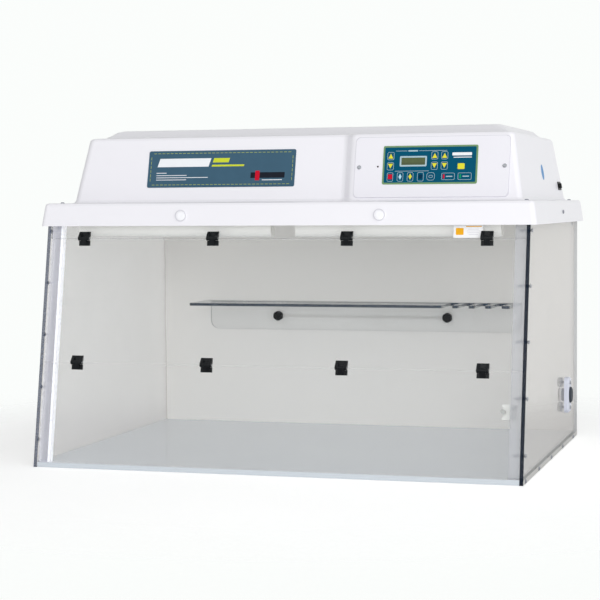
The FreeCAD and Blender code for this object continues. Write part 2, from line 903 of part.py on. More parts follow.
def skirt_plugs():
    profile = [(0, -plug_stem_length), (plug_stem_radius, -plug_stem_length), (plug_stem_radius, 0),
               (plug_radius, 0), (plug_radius, plug_crown * 0.4), (plug_radius * 0.85, plug_crown * 0.8),
               (plug_radius * 0.5, plug_crown), (0, plug_crown)]
    return [turned(profile, seat, plug_outward) for seat in plug_seats()]


# Lamps

def reflector(centre):
    """J-shaped sheet: flat under the ceiling, down in front of the tube, curled under it."""
    x0, x1 = centre - lamp_length / 2, centre + lamp_length / 2
    s = reflector_sheet
    front, top, low = reflector_front_y, ceiling_height, reflector_bottom
    r = reflector_curl
    q = r * (1 - math.sqrt(0.5))
    rs = r - s
    qs = s + rs * (1 - math.sqrt(0.5))
    rear = front + reflector_top_width

    def line(a, b):
        return Part.LineSegment(V(x0, *a), V(x0, *b)).toShape()

    outer_arc = Part.Arc(V(x0, front, low + r), V(x0, front + q, low + q), V(x0, front + r, low)).toShape()
    inner_arc = Part.Arc(V(x0, front + r, low + s), V(x0, front + qs, low + qs),
                         V(x0, front + s, low + r)).toShape()
    edges = [line((rear, top), (front, top)), line((front, top), (front, low + r)), outer_arc,
             line((front + r, low), (front + r, low + s)), inner_arc,
             line((front + s, low + r), (front + s, top - s)), line((front + s, top - s), (rear, top - s)),
             line((rear, top - s), (rear, top))]
    return Part.Face(Part.Wire(edges)).extrude(V(x1 - x0, 0, 0))


tube_half = lamp_length / 2 - holder_thickness


def lamp_tube(centre):
    """Sealed lamp with a metal cap and two pins at each end."""
    glass = rod(V(centre - tube_half + tube_cap_length, tube_y, tube_z), X_AXIS,
                2 * (tube_half - tube_cap_length), tube_radius)
    pieces = [glass]
    for way in (-1, 1):
        end = V(centre + way * tube_half, tube_y, tube_z)
        outward = X_AXIS * way
        cap_radius = tube_radius - tube_cap_step
        profile = [(0, -tube_cap_length), (cap_radius, -tube_cap_length), (cap_radius, 0), (0, 0)]
        pieces.append(turned(profile, end, outward))
        for dz in (-tube_pin_spacing / 2, tube_pin_spacing / 2):
            pieces.append(rod(end + V(0, 0, dz), outward, tube_pin_length, tube_pin_radius))
    return fuse_all(pieces)


def lamp_holders(centre):
    """End blocks that hang from the reflector's top and take the tube's pins."""
    holders = []
    top = ceiling_height - reflector_sheet
    front = reflector_front_y + reflector_sheet + 0.3
    for way in (-1, 1):
        x_in = centre + way * tube_half
        x_out = centre + way * lamp_length / 2
        x0, x1 = min(x_in, x_out), max(x_in, x_out)
        body = block(x0, x1, tube_y - holder_depth / 2, tube_y + holder_depth / 2,
                     tube_z - holder_drop, top)
        edges = [e for e in body.Edges
                 if abs(e.BoundBox.XLength - (x1 - x0)) < 1e-6 and e.BoundBox.ZMax < tube_z]
        body = body.makeFillet(min(holder_drop, holder_depth / 2) * 0.8, edges)
        shaved = block(x0 - 1, x1 + 1, front - holder_depth, front, reflector_bottom - holder_drop, top)
        curl = rod(V(x0 - 1, reflector_front_y + reflector_curl, reflector_bottom + reflector_curl),
                   X_AXIS, x1 - x0 + 2, reflector_curl - reflector_sheet - 0.3)
        keep_z = reflector_bottom + reflector_curl
        low_zone = block(x0 - 1, x1 + 1, front - holder_depth, reflector_front_y + reflector_curl,
                         reflector_bottom - holder_drop, keep_z).cut(curl)
        body = body.cut([shaved, low_zone])
        slots = [rod(V(x_in, tube_y, tube_z + dz), X_AXIS * way, tube_pin_length + 0.5,
                     tube_pin_radius + screw_play) for dz in (-tube_pin_spacing / 2, tube_pin_spacing / 2)]
        holders.append(body.cut(slots))
    return holders


def ballast(centre):
    """Lamp gear: a box with a foot at each end, standing on the ceiling tray."""
    floor = ceiling_height + ceiling_sheet
    x0, x1 = centre - ballast_length / 2, centre + ballast_length / 2
    y0, y1 = ballast_y - ballast_width / 2, ballast_y + ballast_width / 2
    box = block(x0, x1, y0, y1, floor, floor + ballast_height)
    top_edges = [e for e in box.Edges if e.BoundBox.ZMin > floor + 1]
    box = box.makeFillet(2.0, top_edges)
    foot = block(x0 - ballast_foot_length, x1 + ballast_foot_length, y0, y1, floor,
                 floor + ballast_foot_thickness)
    notches = [rod(V(x, ballast_y, floor - 1), Z_AXIS, ballast_foot_thickness + 2, screw_radius)
               for x in (x0 - ballast_foot_length / 2, x1 + ballast_foot_length / 2)]
    return fuse_all([box, foot]).cut(notches)


# Rocker switch: local X runs along Y, local Y up the side, local Z outward

def switch_bezel():
    half_l, half_w = switch_bezel_length / 2, switch_bezel_width / 2
    m = switch_body_margin
    x0, x1 = switch_y - half_l, switch_y + half_l
    y0, y1 = switch_height - half_w, switch_height + half_w
    rim = rounded_plate(x0, x1, y0, y1, 0, switch_bezel_thickness, 2.0)
    body = block(x0 + m, x1 - m, y0 + m, y1 - m, -switch_body_depth, 0)
    half_rl, half_rw = rocker_length / 2 + rocker_gap, rocker_width / 2 + rocker_gap
    well = block(switch_y - half_rl, switch_y + half_rl, switch_height - half_rw, switch_height + half_rw,
                 -switch_body_depth + 3, switch_bezel_thickness + 1)
    pivot_half = rocker_width / 2 + rocker_gap + rocker_pivot_reach + rocker_pivot_play
    pivot = rod(V(switch_y, switch_height - pivot_half, -rocker_pivot_depth), Y_AXIS, 2 * pivot_half,
                rocker_pivot_radius + rocker_pivot_play)
    solid = fuse_all([rim, body]).cut([well, pivot])
    return placed(solid, side_face)


def power_rocker():
    """Rocker cap, drawn with its rear end pressed in, on a pivot across its middle."""
    half = rocker_length / 2
    drop = rocker_body_drop
    z0 = -rocker_pivot_depth
    crest = switch_bezel_thickness + rocker_height - z0
    outline = [(-half, -drop + 1), (-half, crest), (0, crest - rocker_height * 0.8), (half, crest),
               (half, -drop + 1), (half * 0.5, -drop), (-half * 0.5, -drop)]
    corners = [V(x, -rocker_width / 2, z) for x, z in outline]
    cap = Part.Face(Part.makePolygon(corners + corners[:1])).extrude(V(0, rocker_width, 0))
    pivot_half = rocker_width / 2 + rocker_gap + rocker_pivot_reach
    pivot = rod(V(0, -pivot_half, 0), Y_AXIS, 2 * pivot_half, rocker_pivot_radius)
    solid = fuse_all([cap, pivot])
    solid.rotate(V(0, 0, 0), Y_AXIS, rocker_tilt)
    solid.translate(V(switch_y, switch_height, z0))
    return placed(solid, side_face)


# Mains inlet: local X runs to the left seen from the front, local Y up, local Z to the rear

def inlet_screw_points(z):
    return [V(-inlet_x + way * inlet_screw_spacing / 2, inlet_height, z) for way in (-1, 1)]


inlet_screw_length = inlet_flange_thickness + hood_sheet + 2.0


def inlet_screw_holes():
    return [screw_hole(point, Z_AXIS, inlet_screw_length)
            for point in inlet_screw_points(inlet_flange_thickness)]


def power_inlet():
    flange = rounded_plate(-inlet_x - inlet_flange_width / 2, -inlet_x + inlet_flange_width / 2,
                           inlet_height - inlet_flange_height / 2, inlet_height + inlet_flange_height / 2,
                           0, inlet_flange_thickness, 3.0)
    half_w, half_h = inlet_body_width / 2, inlet_body_height / 2
    body = block(-inlet_x - half_w, -inlet_x + half_w, inlet_height - half_h, inlet_height + half_h,
                 -inlet_body_depth, 0)
    w = inlet_wall
    well = block(-inlet_x - half_w + w, -inlet_x + half_w - w, inlet_height - half_h + w,
                 inlet_height + half_h - w, inlet_flange_thickness - inlet_well_depth,
                 inlet_flange_thickness + 1)
    solid = fuse_all([flange, body]).cut([well] + inlet_screw_holes())
    blades = []
    for way in (-1, 0, 1):
        x = -inlet_x + way * inlet_blade_spacing
        y = inlet_height + (inlet_blade_height * 0.6 if way == 0 else -inlet_blade_height * 0.5)
        blades.append(block(x - inlet_blade_width / 2, x + inlet_blade_width / 2,
                            y - inlet_blade_height / 2, y + inlet_blade_height / 2,
                            inlet_flange_thickness - inlet_well_depth - 1,
                            inlet_flange_thickness - inlet_blade_recess))
    return placed(fuse_all([solid] + blades), back_face_frame)


# Shelf

def shelf():
    """One sheet bent down at the back wall, with a comb of slots cut in its right end."""
    x1 = shelf_half_width
    front = back_face - shelf_depth
    low = shelf_top - shelf_flange_height
    t = shelf_thickness
    r = shelf_bend_radius
    q = r * (1 - math.sqrt(0.5))
    ri = r - t
    qi = t + ri * (1 - math.sqrt(0.5))
    x0 = -x1

    def line(a, b):
        return Part.LineSegment(V(x0, *a), V(x0, *b)).toShape()

    outer_arc = Part.Arc(V(x0, back_face - r, shelf_top), V(x0, back_face - q, shelf_top - q),
                         V(x0, back_face, shelf_top - r)).toShape()
    inner_arc = Part.Arc(V(x0, back_face - t, shelf_top - r), V(x0, back_face - qi, shelf_top - qi),
                         V(x0, back_face - r, shelf_top - t)).toShape()
    edges = [line((front, shelf_top), (back_face - r, shelf_top)), outer_arc,
             line((back_face, shelf_top - r), (back_face, low)), line((back_face, low), (back_face - t, low)),
             line((back_face - t, low), (back_face - t, shelf_top - r)), inner_arc,
             line((back_face - r, shelf_top - t), (front, shelf_top - t)),
             line((front, shelf_top - t), (front, shelf_top))]
    sheet = Part.Face(Part.Wire(edges)).extrude(V(2 * x1, 0, 0))
    corners = [e for e in sheet.Edges if abs(e.BoundBox.YLength - t) < 1e-6
               and e.BoundBox.ZMax < low + 1e-6 and e.BoundBox.XLength < 1e-6]
    sheet = sheet.makeFillet(shelf_flange_corner, corners)

    tools = []
    for i in range(slot_count):
        left = slot_first + i * slot_pitch
        radius = slot_width / 2
        deep = slot_depth - radius
        tools.append(block(left, left + slot_width, front - 1, front + deep,
                           shelf_top - t - 1, shelf_top + 1))
        tools.append(rod(V(left + radius, front + deep, shelf_top - t - 1), Z_AXIS, t + 2, radius))
    sheet = sheet.cut(tools)
    tips = [e for e in sheet.Edges if abs(e.BoundBox.ZLength - t) < 1e-6 and e.BoundBox.YMax < front + 1e-6]
    sheet = sheet.makeFillet(tongue_radius, tips)
    holes = [rod(axis - V(0, t + 1, 0), Y_AXIS, t + 2, stud_hole_radius) for axis in knob_axes()]
    return sheet.cut(holes)


def shelf_knob(axis):
    """Round knob with finger flats and a stud through the shelf into the back wall."""
    reach = shelf_thickness + knob_clearance
    r, h = knob_radius, knob_length
    profile = [(0, -reach - wall), (stud_radius, -reach - wall), (stud_radius, 0), (r * 0.82, 0),
               (r, 1.5), (r, h - knob_crown), (r * 0.8, h), (0, h)]
    seat = axis - V(0, reach, 0)
    knob = turned(profile, seat, V(0, -1, 0))
    scallops = []
    for i in range(6):
        angle = math.radians(60 * i)
        centre = seat + V(math.cos(angle), 0, math.sin(angle)) * (r * 1.32) + V(0, 0.01, 0)
        scallops.append(rod(centre, V(0, -1, 0), h + 1, r * 0.42))
    return knob.cut(scallops)


# Door switch and magnet

post_back = -door_thickness - (post_gap + post_depth) * math.cos(front_lean)
door_switch_screw_length = door_switch_depth + post_depth * 0.6


def door_switch_screw_points():
    z = post_back - door_switch_depth
    return [V(door_switch_screw_x, door_switch_centre + way * door_switch_screw_spacing / 2, z)
            for way in (-1, 1)]


def door_switch_screw_tools():
    return [placed(screw_hole(point, V(0, 0, -1), door_switch_screw_length), door_frame)
            for point in door_switch_screw_points()]


def door_switch():
    """Block on the back of the right post; its free edge is notched for the lead."""
    left, right = door_switch_left, door_switch_left + door_switch_width
    low = door_switch_centre - door_switch_height / 2
    rear = post_back - door_switch_depth
    body = block(left, right, low, low + door_switch_height, rear, post_back)
    edges = [e for e in body.Edges if abs(e.BoundBox.ZLength - door_switch_depth) < 1e-6]
    body = body.makeFillet(door_switch_corner, edges)
    notches = [rod(V(left, door_switch_centre + way * door_switch_notch_spacing / 2, rear - 1), Z_AXIS,
                   door_switch_depth + 2, door_switch_notch) for way in (-1, 1)]
    return placed(body.cut(notches), door_frame).cut(door_switch_screw_tools())


def door_magnet():
    disc = rod(V(magnet_x, door_switch_centre, -door_thickness), V(0, 0, -1), magnet_thickness,
               magnet_radius)
    return placed(disc, door_frame)


# Cord port

def port_flange():
    y0, y1 = port_y - port_flange_width / 2, port_y + port_flange_width / 2
    z0, z1 = port_z - port_flange_height / 2, port_z + port_flange_height / 2
    plate = rounded_plate(y0, y1, z0, z1, 0, port_flange_thickness, port_flange_corner)
    outer_edges = [e for e in plate.Edges if e.BoundBox.ZMin > port_flange_thickness - 1e-6]
    plate = plate.makeChamfer(port_flange_chamfer, outer_edges)
    plate = placed(plate, frame_at(V(half_width, 0, 0), Y_AXIS, Z_AXIS))
    holes = [screw_hole(seat, X_AXIS, port_screw_length) for seat in port_screw_seats()]
    holes.append(rod(V(half_width - 1, port_y, port_z), X_AXIS, port_flange_thickness + 2, port_hole_radius))
    return plate.cut(holes)


def port_plug():
    """Rubber plug with a lip outside the flange, a domed face and a hollow back."""
    r = port_hole_radius - port_plug_fit
    lip = port_hole_radius + port_plug_lip
    inside = -(wall + port_flange_thickness)
    c = port_plug_crown
    hollow = r - port_plug_face
    floor = -port_plug_face
    profile = [(0, floor), (hollow, floor), (hollow, inside), (r, inside), (r, 0), (lip, 0), (lip, c * 0.5),
               (lip * 0.8, c), (0, c)]
    return turned(profile, V(half_width + port_flange_thickness, port_y, port_z), X_AXIS)


def port_nuts():
    nuts = []
    for seat in port_screw_seats():
        centre = V(inner_half, seat.y, seat.z)
        r, h = port_nut_radius, port_nut_thickness
        bore = screw_radius + screw_play
        profile = [(bore, 0), (r, 0), (r, h * 0.75), (r * 0.85, h), (bore, h)]
        nuts.append(turned(profile, centre, V(-1, 0, 0)))
    return nuts


def build():
    os.makedirs("parts", exist_ok=True)
    save("base_panel", [base_panel()])
    save("left_side_panel", [side_panel(-1)])
    save("right_side_panel", [side_panel(1)])
    save("back_panel", [back_panel()])
    save("left_corner_post", [corner_post(-1)])
    save("right_corner_post", [corner_post(1)])
    save("transom_panel", [transom_panel()])
    save("upper_door_panel", [door_panel(upper_door_foot, upper_door_top)])
    save("lower_door_panel", [door_panel(lower_door_foot, lower_door_top)])

    upper_leaf, lower_leaf, pin = hinge_leaf(1, False), hinge_leaf(-1, True), hinge_pin()
    save("upper_hinge_fixed_leaves", hinge_row(upper_leaf, upper_hinge_line))
    save("upper_hinge_door_leaves", hinge_row(lower_leaf, upper_hinge_line))
    save("upper_hinge_pins", hinge_row(pin, upper_hinge_line))
    save("middle_hinge_upper_leaves", hinge_row(upper_leaf, middle_hinge_line))
    save("middle_hinge_lower_leaves", hinge_row(lower_leaf, middle_hinge_line))
    save("middle_hinge_pins", hinge_row(pin, middle_hinge_line))

    for side, name in ((-1, "left"), (1, "right")):
        outward = X_AXIS * side
        save(name + "_post_screws", [screw(s, outward, wall_screw_length) for s in post_screw_seats(side)])
        save(name + "_base_screws", [screw(s, outward, wall_screw_length) for s in base_screw_seats(side)])

    save("hood_shell", [hood_shell()])
    places = [(side, y) for side in (-1, 1) for y in (bracket_front_y, bracket_back_y)]
    ledge_holes = [screw_hole(seat, Z_AXIS, ledge_screw_length) for seat in ledge_screw_seats()]
    save("hood_brackets", [bracket(side, y).cut(ledge_holes) for side, y in places])
    save("bracket_screws", [screw(seat, X_AXIS * side, bracket_screw_length)
                            for side in (-1, 1) for seat in bracket_screw_seats(side)])
    save("ledge_screws", [screw(seat, Z_AXIS, ledge_screw_length) for seat in ledge_screw_seats()])
    save("skirt_side_screws", [screw(side_screw_seat(side), X_AXIS * side, side_screw_length)
                               for side in (-1, 1)])
    save("skirt_plugs", skirt_plugs())
    save("ceiling_tray", [ceiling_tray()])

    save("control_plate", [control_plate()])
    save("control_plate_screws", [placed(screw(point, Z_AXIS, plate_screw_length), pod_face)
                                  for point in plate_screw_points(plate_thickness)])
    save("keypad", [keypad()])
    save("display_module", [display_module()])
    save("control_board", [control_board()])
    save("board_spacers", board_spacers())
    save("status_light", [status_light()])
    save("name_plate", [name_plate()])

    for name, centre in (("uv", -lamp_centre_x), ("white", lamp_centre_x)):
        save(name + "_lamp_reflector", [reflector(centre)])
        save(name + "_lamp_tube", [lamp_tube(centre)])
        save(name + "_lamp_holders", lamp_holders(centre))
        save(name + "_lamp_ballast", [ballast(centre)])

    save("power_switch_bezel", [switch_bezel()])
    save("power_rocker", [power_rocker()])
    save("power_inlet", [power_inlet()])
    save("power_inlet_screws", [placed(screw(point, Z_AXIS, inlet_screw_length), back_face_frame)
                                for point in inlet_screw_points(inlet_flange_thickness)])

    save("shelf", [shelf()])
    for name, axis in zip(("shelf_knob_left", "shelf_knob_right"), knob_axes()):
        save(name, [shelf_knob(axis)])

    save("door_switch", [door_switch()])
    save("door_switch_screws", [placed(screw(point, V(0, 0, -1), door_switch_screw_length), door_frame)
                                for point in door_switch_screw_points()])
    save("door_magnet", [door_magnet()])
    save("port_flange", [port_flange()])
    save("port_plug", [port_plug()])
    save("port_screws", [screw(seat, X_AXIS, port_screw_length) for seat in port_screw_seats()])
    save("port_nuts", port_nuts())


build()
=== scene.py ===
import math

import bpy
from mathutils import Matrix, Vector


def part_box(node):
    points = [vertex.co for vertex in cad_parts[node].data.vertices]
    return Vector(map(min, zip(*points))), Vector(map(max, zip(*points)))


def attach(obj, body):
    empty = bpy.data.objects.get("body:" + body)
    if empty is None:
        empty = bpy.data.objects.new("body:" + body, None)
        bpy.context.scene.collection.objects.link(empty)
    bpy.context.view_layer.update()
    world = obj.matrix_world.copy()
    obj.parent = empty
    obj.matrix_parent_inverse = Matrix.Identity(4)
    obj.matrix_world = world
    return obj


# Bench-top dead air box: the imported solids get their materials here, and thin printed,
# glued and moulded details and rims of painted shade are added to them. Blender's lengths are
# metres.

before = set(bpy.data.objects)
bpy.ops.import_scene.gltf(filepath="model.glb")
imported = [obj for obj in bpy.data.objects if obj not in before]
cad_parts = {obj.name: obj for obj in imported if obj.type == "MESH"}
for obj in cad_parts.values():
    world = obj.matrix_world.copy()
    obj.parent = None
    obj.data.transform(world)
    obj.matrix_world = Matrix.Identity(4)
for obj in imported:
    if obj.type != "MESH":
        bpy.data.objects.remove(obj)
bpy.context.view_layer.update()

MM = 0.001


def srgb(red, green, blue):
    """A colour as it looks in a picture, 0 to 255, in the linear values that shaders use."""

    def linear(value):
        share = value / 255
        return share / 12.92 if share <= 0.04045 else ((share + 0.055) / 1.055) ** 2.4

    return (linear(red), linear(green), linear(blue), 1.0)


def shaded(colour, factor):
    return tuple(part * factor for part in colour[:3]) + (1.0,)


# Shader nodes. A value that a helper takes is a number or another node's output.


def new_material(name):
    made = bpy.data.materials.new(name)
    made.use_nodes = True
    made.node_tree.nodes.clear()
    return made


def add(owner, kind, inputs=None, **settings):
    """A node of a material or world, with its settings and inputs."""
    tree = owner.node_tree
    made = tree.nodes.new(kind)
    for key, value in settings.items():
        setattr(made, key, value)
    for key, value in (inputs or {}).items():
        if isinstance(value, bpy.types.NodeSocket):
            tree.links.new(value, made.inputs[key])
        else:
            made.inputs[key].default_value = value
    return made


def finish_material(material, shader):
    add(material, "ShaderNodeOutputMaterial", {"Surface": shader})
    return material


def compute(owner, operation, *values):
    return add(owner, "ShaderNodeMath", dict(enumerate(values)), operation=operation).outputs[0]


def blended(owner, share, first, second):
    """A shader that goes from first to second with the share."""
    return add(owner, "ShaderNodeMixShader", {0: share, 1: first, 2: second}).outputs[0]


def two_colours(material, share, first, second):
    made = add(material, "ShaderNodeMix", {0: share, 6: first, 7: second}, data_type="RGBA")
    return made.outputs[2]


def map_range(material, value, from_low, from_high, to_low, to_high, curve="LINEAR"):
    inputs = {
        "Value": value,
        "From Min": from_low,
        "From Max": from_high,
        "To Min": to_low,
        "To Max": to_high,
    }
    made = add(material, "ShaderNodeMapRange", inputs, interpolation_type=curve)
    return made.outputs["Result"]


def spread(material, value, low, high):
    """A value from about 0.3 to 0.7, such as noise gives, spread from low to high."""
    return map_range(material, value, 0.3, 0.7, low, high)


def along(owner, vector, direction):
    """How far a vector reaches along a direction."""
    inputs = {0: vector, 1: direction}
    made = add(owner, "ShaderNodeVectorMath", inputs, operation="DOT_PRODUCT")
    return made.outputs["Value"]


def axis_part(material, vector, axis):
    return add(material, "ShaderNodeSeparateXYZ", {0: vector}).outputs[axis]


def object_place(material):
    return add(material, "ShaderNodeTexCoord").outputs["Object"]


def smooth_normal(material):
    return add(material, "ShaderNodeTexCoord").outputs["Normal"]


def face_normal(material):
    """Each face's own direction, so that long thin facets don't shade a plane sheet."""
    return add(material, "ShaderNodeNewGeometry").outputs["True Normal"]


def coordinates(material, stretch=(1, 1, 1)):
    inputs = {"Vector": object_place(material), "Scale": stretch}
    return add(material, "ShaderNodeMapping", inputs).outputs[0]


def noise(material, scale, detail=3, stretch=(1, 1, 1)):
    inputs = {"Vector": coordinates(material, stretch), "Scale": scale, "Detail": detail}
    return add(material, "ShaderNodeTexNoise", inputs).outputs["Fac"]


def bumped(material, height, depth_mm, strength, flat=False):
    """A fine relief, on the faces' own normals where flat is true, as on a plane sheet."""
    inputs = {"Height": height, "Distance": depth_mm * MM, "Strength": strength}
    if flat:
        inputs["Normal"] = face_normal(material)
    return add(material, "ShaderNodeBump", inputs).outputs["Normal"]


# Opaque materials


def fading_painted_glow(material, first, last, first_glow, last_glow):
    """Painted light and shade: a glow standing in for light through a wall, fading between two
    points given in metres.
    """
    way = Vector(last) - Vector(first)
    reach = along(material, object_place(material), tuple(way))
    ends = Vector(first).dot(way), Vector(last).dot(way)
    return map_range(material, reach, *ends, first_glow, last_glow, curve="SMOOTHSTEP")


def moulded(
    name,
    colour,
    roughness,
    mottle,
    mottle_scale,
    grain,
    grain_depth,
    coat=0.0,
    roughness_spread=0.06,
    specular=0.5,
    painted_glow=0.0,
    painted_glow_fade=None,
    flat=False,
):
    """Moulded or painted surface: slow mottle in colour, uneven gloss, a fine grain and an optional
    glow, which is painted light.
    """
    made = new_material(name)
    tone = spread(made, noise(made, mottle_scale, 4), 0.0, 1.0)
    uneven = noise(made, mottle_scale * 7, 2)
    fine = noise(made, grain, 2)
    if painted_glow_fade is not None:
        painted_glow = fading_painted_glow(made, *painted_glow_fade)
    shader = add(
        made,
        "ShaderNodeBsdfPrincipled",
        {
            "Base Color": two_colours(
                made, tone, shaded(colour, 1 - mottle), shaded(colour, 1 + mottle / 2)
            ),
            "Roughness": spread(
                made, uneven, roughness - roughness_spread, roughness + roughness_spread
            ),
            "Normal": bumped(made, fine, grain_depth, 0.08, flat),
            "Coat Weight": coat,
            "Coat Roughness": 0.08,
            "Specular IOR Level": specular,
            # Painted light: the surface glows in its own colour by the given strength.
            "Emission Color": colour,
            "Emission Strength": painted_glow,
        },
    )
    return finish_material(made, shader.outputs[0])


def print_and_shade_film(name, colour, mottle=0.03):
    """Satin film, as screen print and as rims of painted shade, with a faint unevenness in its
    colour.
    """
    return moulded(name, colour, 0.55, mottle, 60, 1600, 0.01, specular=0.05)


def metal(name, colour, roughness, stretch, grain):
    """Metal with fine drawn lines along one direction and uneven gloss."""
    made = new_material(name)
    lines = noise(made, grain, 3, stretch)
    tone = spread(made, lines, 0.0, 1.0)
    shader = add(
        made,
        "ShaderNodeBsdfPrincipled",
        {
            "Base Color": two_colours(made, tone, shaded(colour, 0.88), shaded(colour, 1.04)),
            "Metallic": 1.0,
            "Roughness": spread(made, noise(made, 55), roughness - 0.08, roughness + 0.1),
            "Normal": bumped(made, lines, 0.02, 0.3),
        },
    )
    return finish_material(made, shader.outputs[0])


def floor_sheet():
    """Polished pale sheet with a slow mottle on its top, faint smears in its gloss and a faint glow
    of painted light.
    """
    made = new_material("floor_sheet")
    edge_colour = srgb(208, 215, 222)
    slow = spread(made, noise(made, 4), 0.0, 1.0)
    top_colour = two_colours(made, slow, srgb(205, 211, 219), srgb(209, 215, 222))
    is_top = compute(made, "GREATER_THAN", axis_part(made, smooth_normal(made), "Z"), 0.5)
    colour = two_colours(made, is_top, edge_colour, top_colour)
    shader = add(
        made,
        "ShaderNodeBsdfPrincipled",
        {
            "Base Color": colour,
            "Roughness": spread(made, noise(made, 14, 4), 0.05, 0.09),
            "Coat Weight": 0.3,
            "Coat Roughness": 0.04,
            # Painted light: a faint glow in the sheet's own colour.
            "Emission Color": colour,
            "Emission Strength": 0.05,
            "Normal": bumped(made, noise(made, 9, 2), 0.01, 0.05, flat=True),
        },
    )
    return finish_material(made, shader.outputs[0])


def display_glass():
    """Dark olive display window with its rows of character cells."""
    made = new_material("display_glass")
    cells = add(
        made,
        "ShaderNodeTexBrick",
        {
            "Vector": coordinates(made),
            "Color1": srgb(70, 88, 34),
            "Color2": srgb(64, 82, 30),
            "Mortar": srgb(54, 70, 24),
            "Scale": 1.0,
            "Mortar Size": 0.00035,
            "Brick Width": 0.0023,
            "Row Height": 0.0046,
        },
        offset=0.0,
    ).outputs["Color"]
    shader = add(
        made,
        "ShaderNodeBsdfPrincipled",
        {
            "Base Color": cells,
            "Roughness": spread(made, noise(made, 300), 0.1, 0.18),
            "Coat Weight": 0.5,
        },
    )
    return finish_material(made, shader.outputs[0])


# Clear sheets


def glance(material):
    """0 where a face is seen square on and 1 where it is seen at a glance."""
    inputs = {"Blend": 0.5, "Normal": face_normal(material)}
    return add(material, "ShaderNodeLayerWeight", inputs).outputs["Facing"]


def shine_share(material, least):
    """Reflection of a polished sheet: little when seen square on, strong at a glance."""
    steep = compute(material, "POWER", glance(material), 5.0)
    return compute(material, "MULTIPLY_ADD", steep, 0.5, least)


def haze_share(material, veil, glance_veil):
    """Handling marks and dust in patches, which show most when a sheet is seen at a glance."""
    level = compute(material, "MULTIPLY_ADD", glance(material), glance_veil, veil)
    patches = spread(material, noise(material, 7, 5), 0.94, 1.06)
    return compute(material, "MULTIPLY", level, patches)


def with_bond(material, haze, bond_height):
    """Cloudy haze added below a height, where a panel is bonded to the base's edge."""
    height = axis_part(material, object_place(material), "Z")
    bonded = compute(material, "LESS_THAN", height, bond_height)
    cloud = compute(material, "MULTIPLY", bonded, 0.8)
    return compute(material, "MAXIMUM", haze, cloud)


def edge_share(material, broad_direction):
    """1 on the narrow edges of a sheet and 0 on its broad faces, whose direction is given."""
    lined_up = along(material, smooth_normal(material), broad_direction)
    square = compute(material, "MULTIPLY", lined_up, lined_up)
    return map_range(material, square, 0.93, 0.75, 0.0, 1.0)


def shelf_edge_share(material, bend_height):
    """1 on the shelf's front edge, less on its ends and slot walls, faint on the flange's rim."""
    side_share = 0.4
    rim_share = 0.3
    normal = add(material, "ShaderNodeSeparateXYZ", {0: face_normal(material)}).outputs
    ends = compute(material, "GREATER_THAN", compute(material, "ABSOLUTE", normal["X"]), 0.35)
    front = compute(material, "LESS_THAN", normal["Y"], -0.6)
    side_edges = compute(material, "MULTIPLY", ends, side_share)
    upper_edges = compute(material, "MAXIMUM", side_edges, front)
    foot = compute(material, "GREATER_THAN", compute(material, "ABSOLUTE", normal["Z"]), 0.5)
    rim = compute(material, "MAXIMUM", ends, foot)
    lower_edges = compute(material, "MULTIPLY", rim, rim_share)
    height = axis_part(material, object_place(material), "Z")
    above = compute(material, "GREATER_THAN", height, bend_height)
    return add(material, "ShaderNodeMix", {0: above, 2: lower_edges, 3: upper_edges}).outputs[0]


def with_painted_highlight(material, share, painted_highlight_reach):
    """Painted highlight: the edge mask widened over the part of a bar nearer the box's middle than
    a given distance.
    """
    across = axis_part(material, object_place(material), "X")
    distance = compute(material, "ABSOLUTE", across)
    corner = compute(material, "LESS_THAN", distance, painted_highlight_reach)
    return compute(material, "MAXIMUM", share, corner)


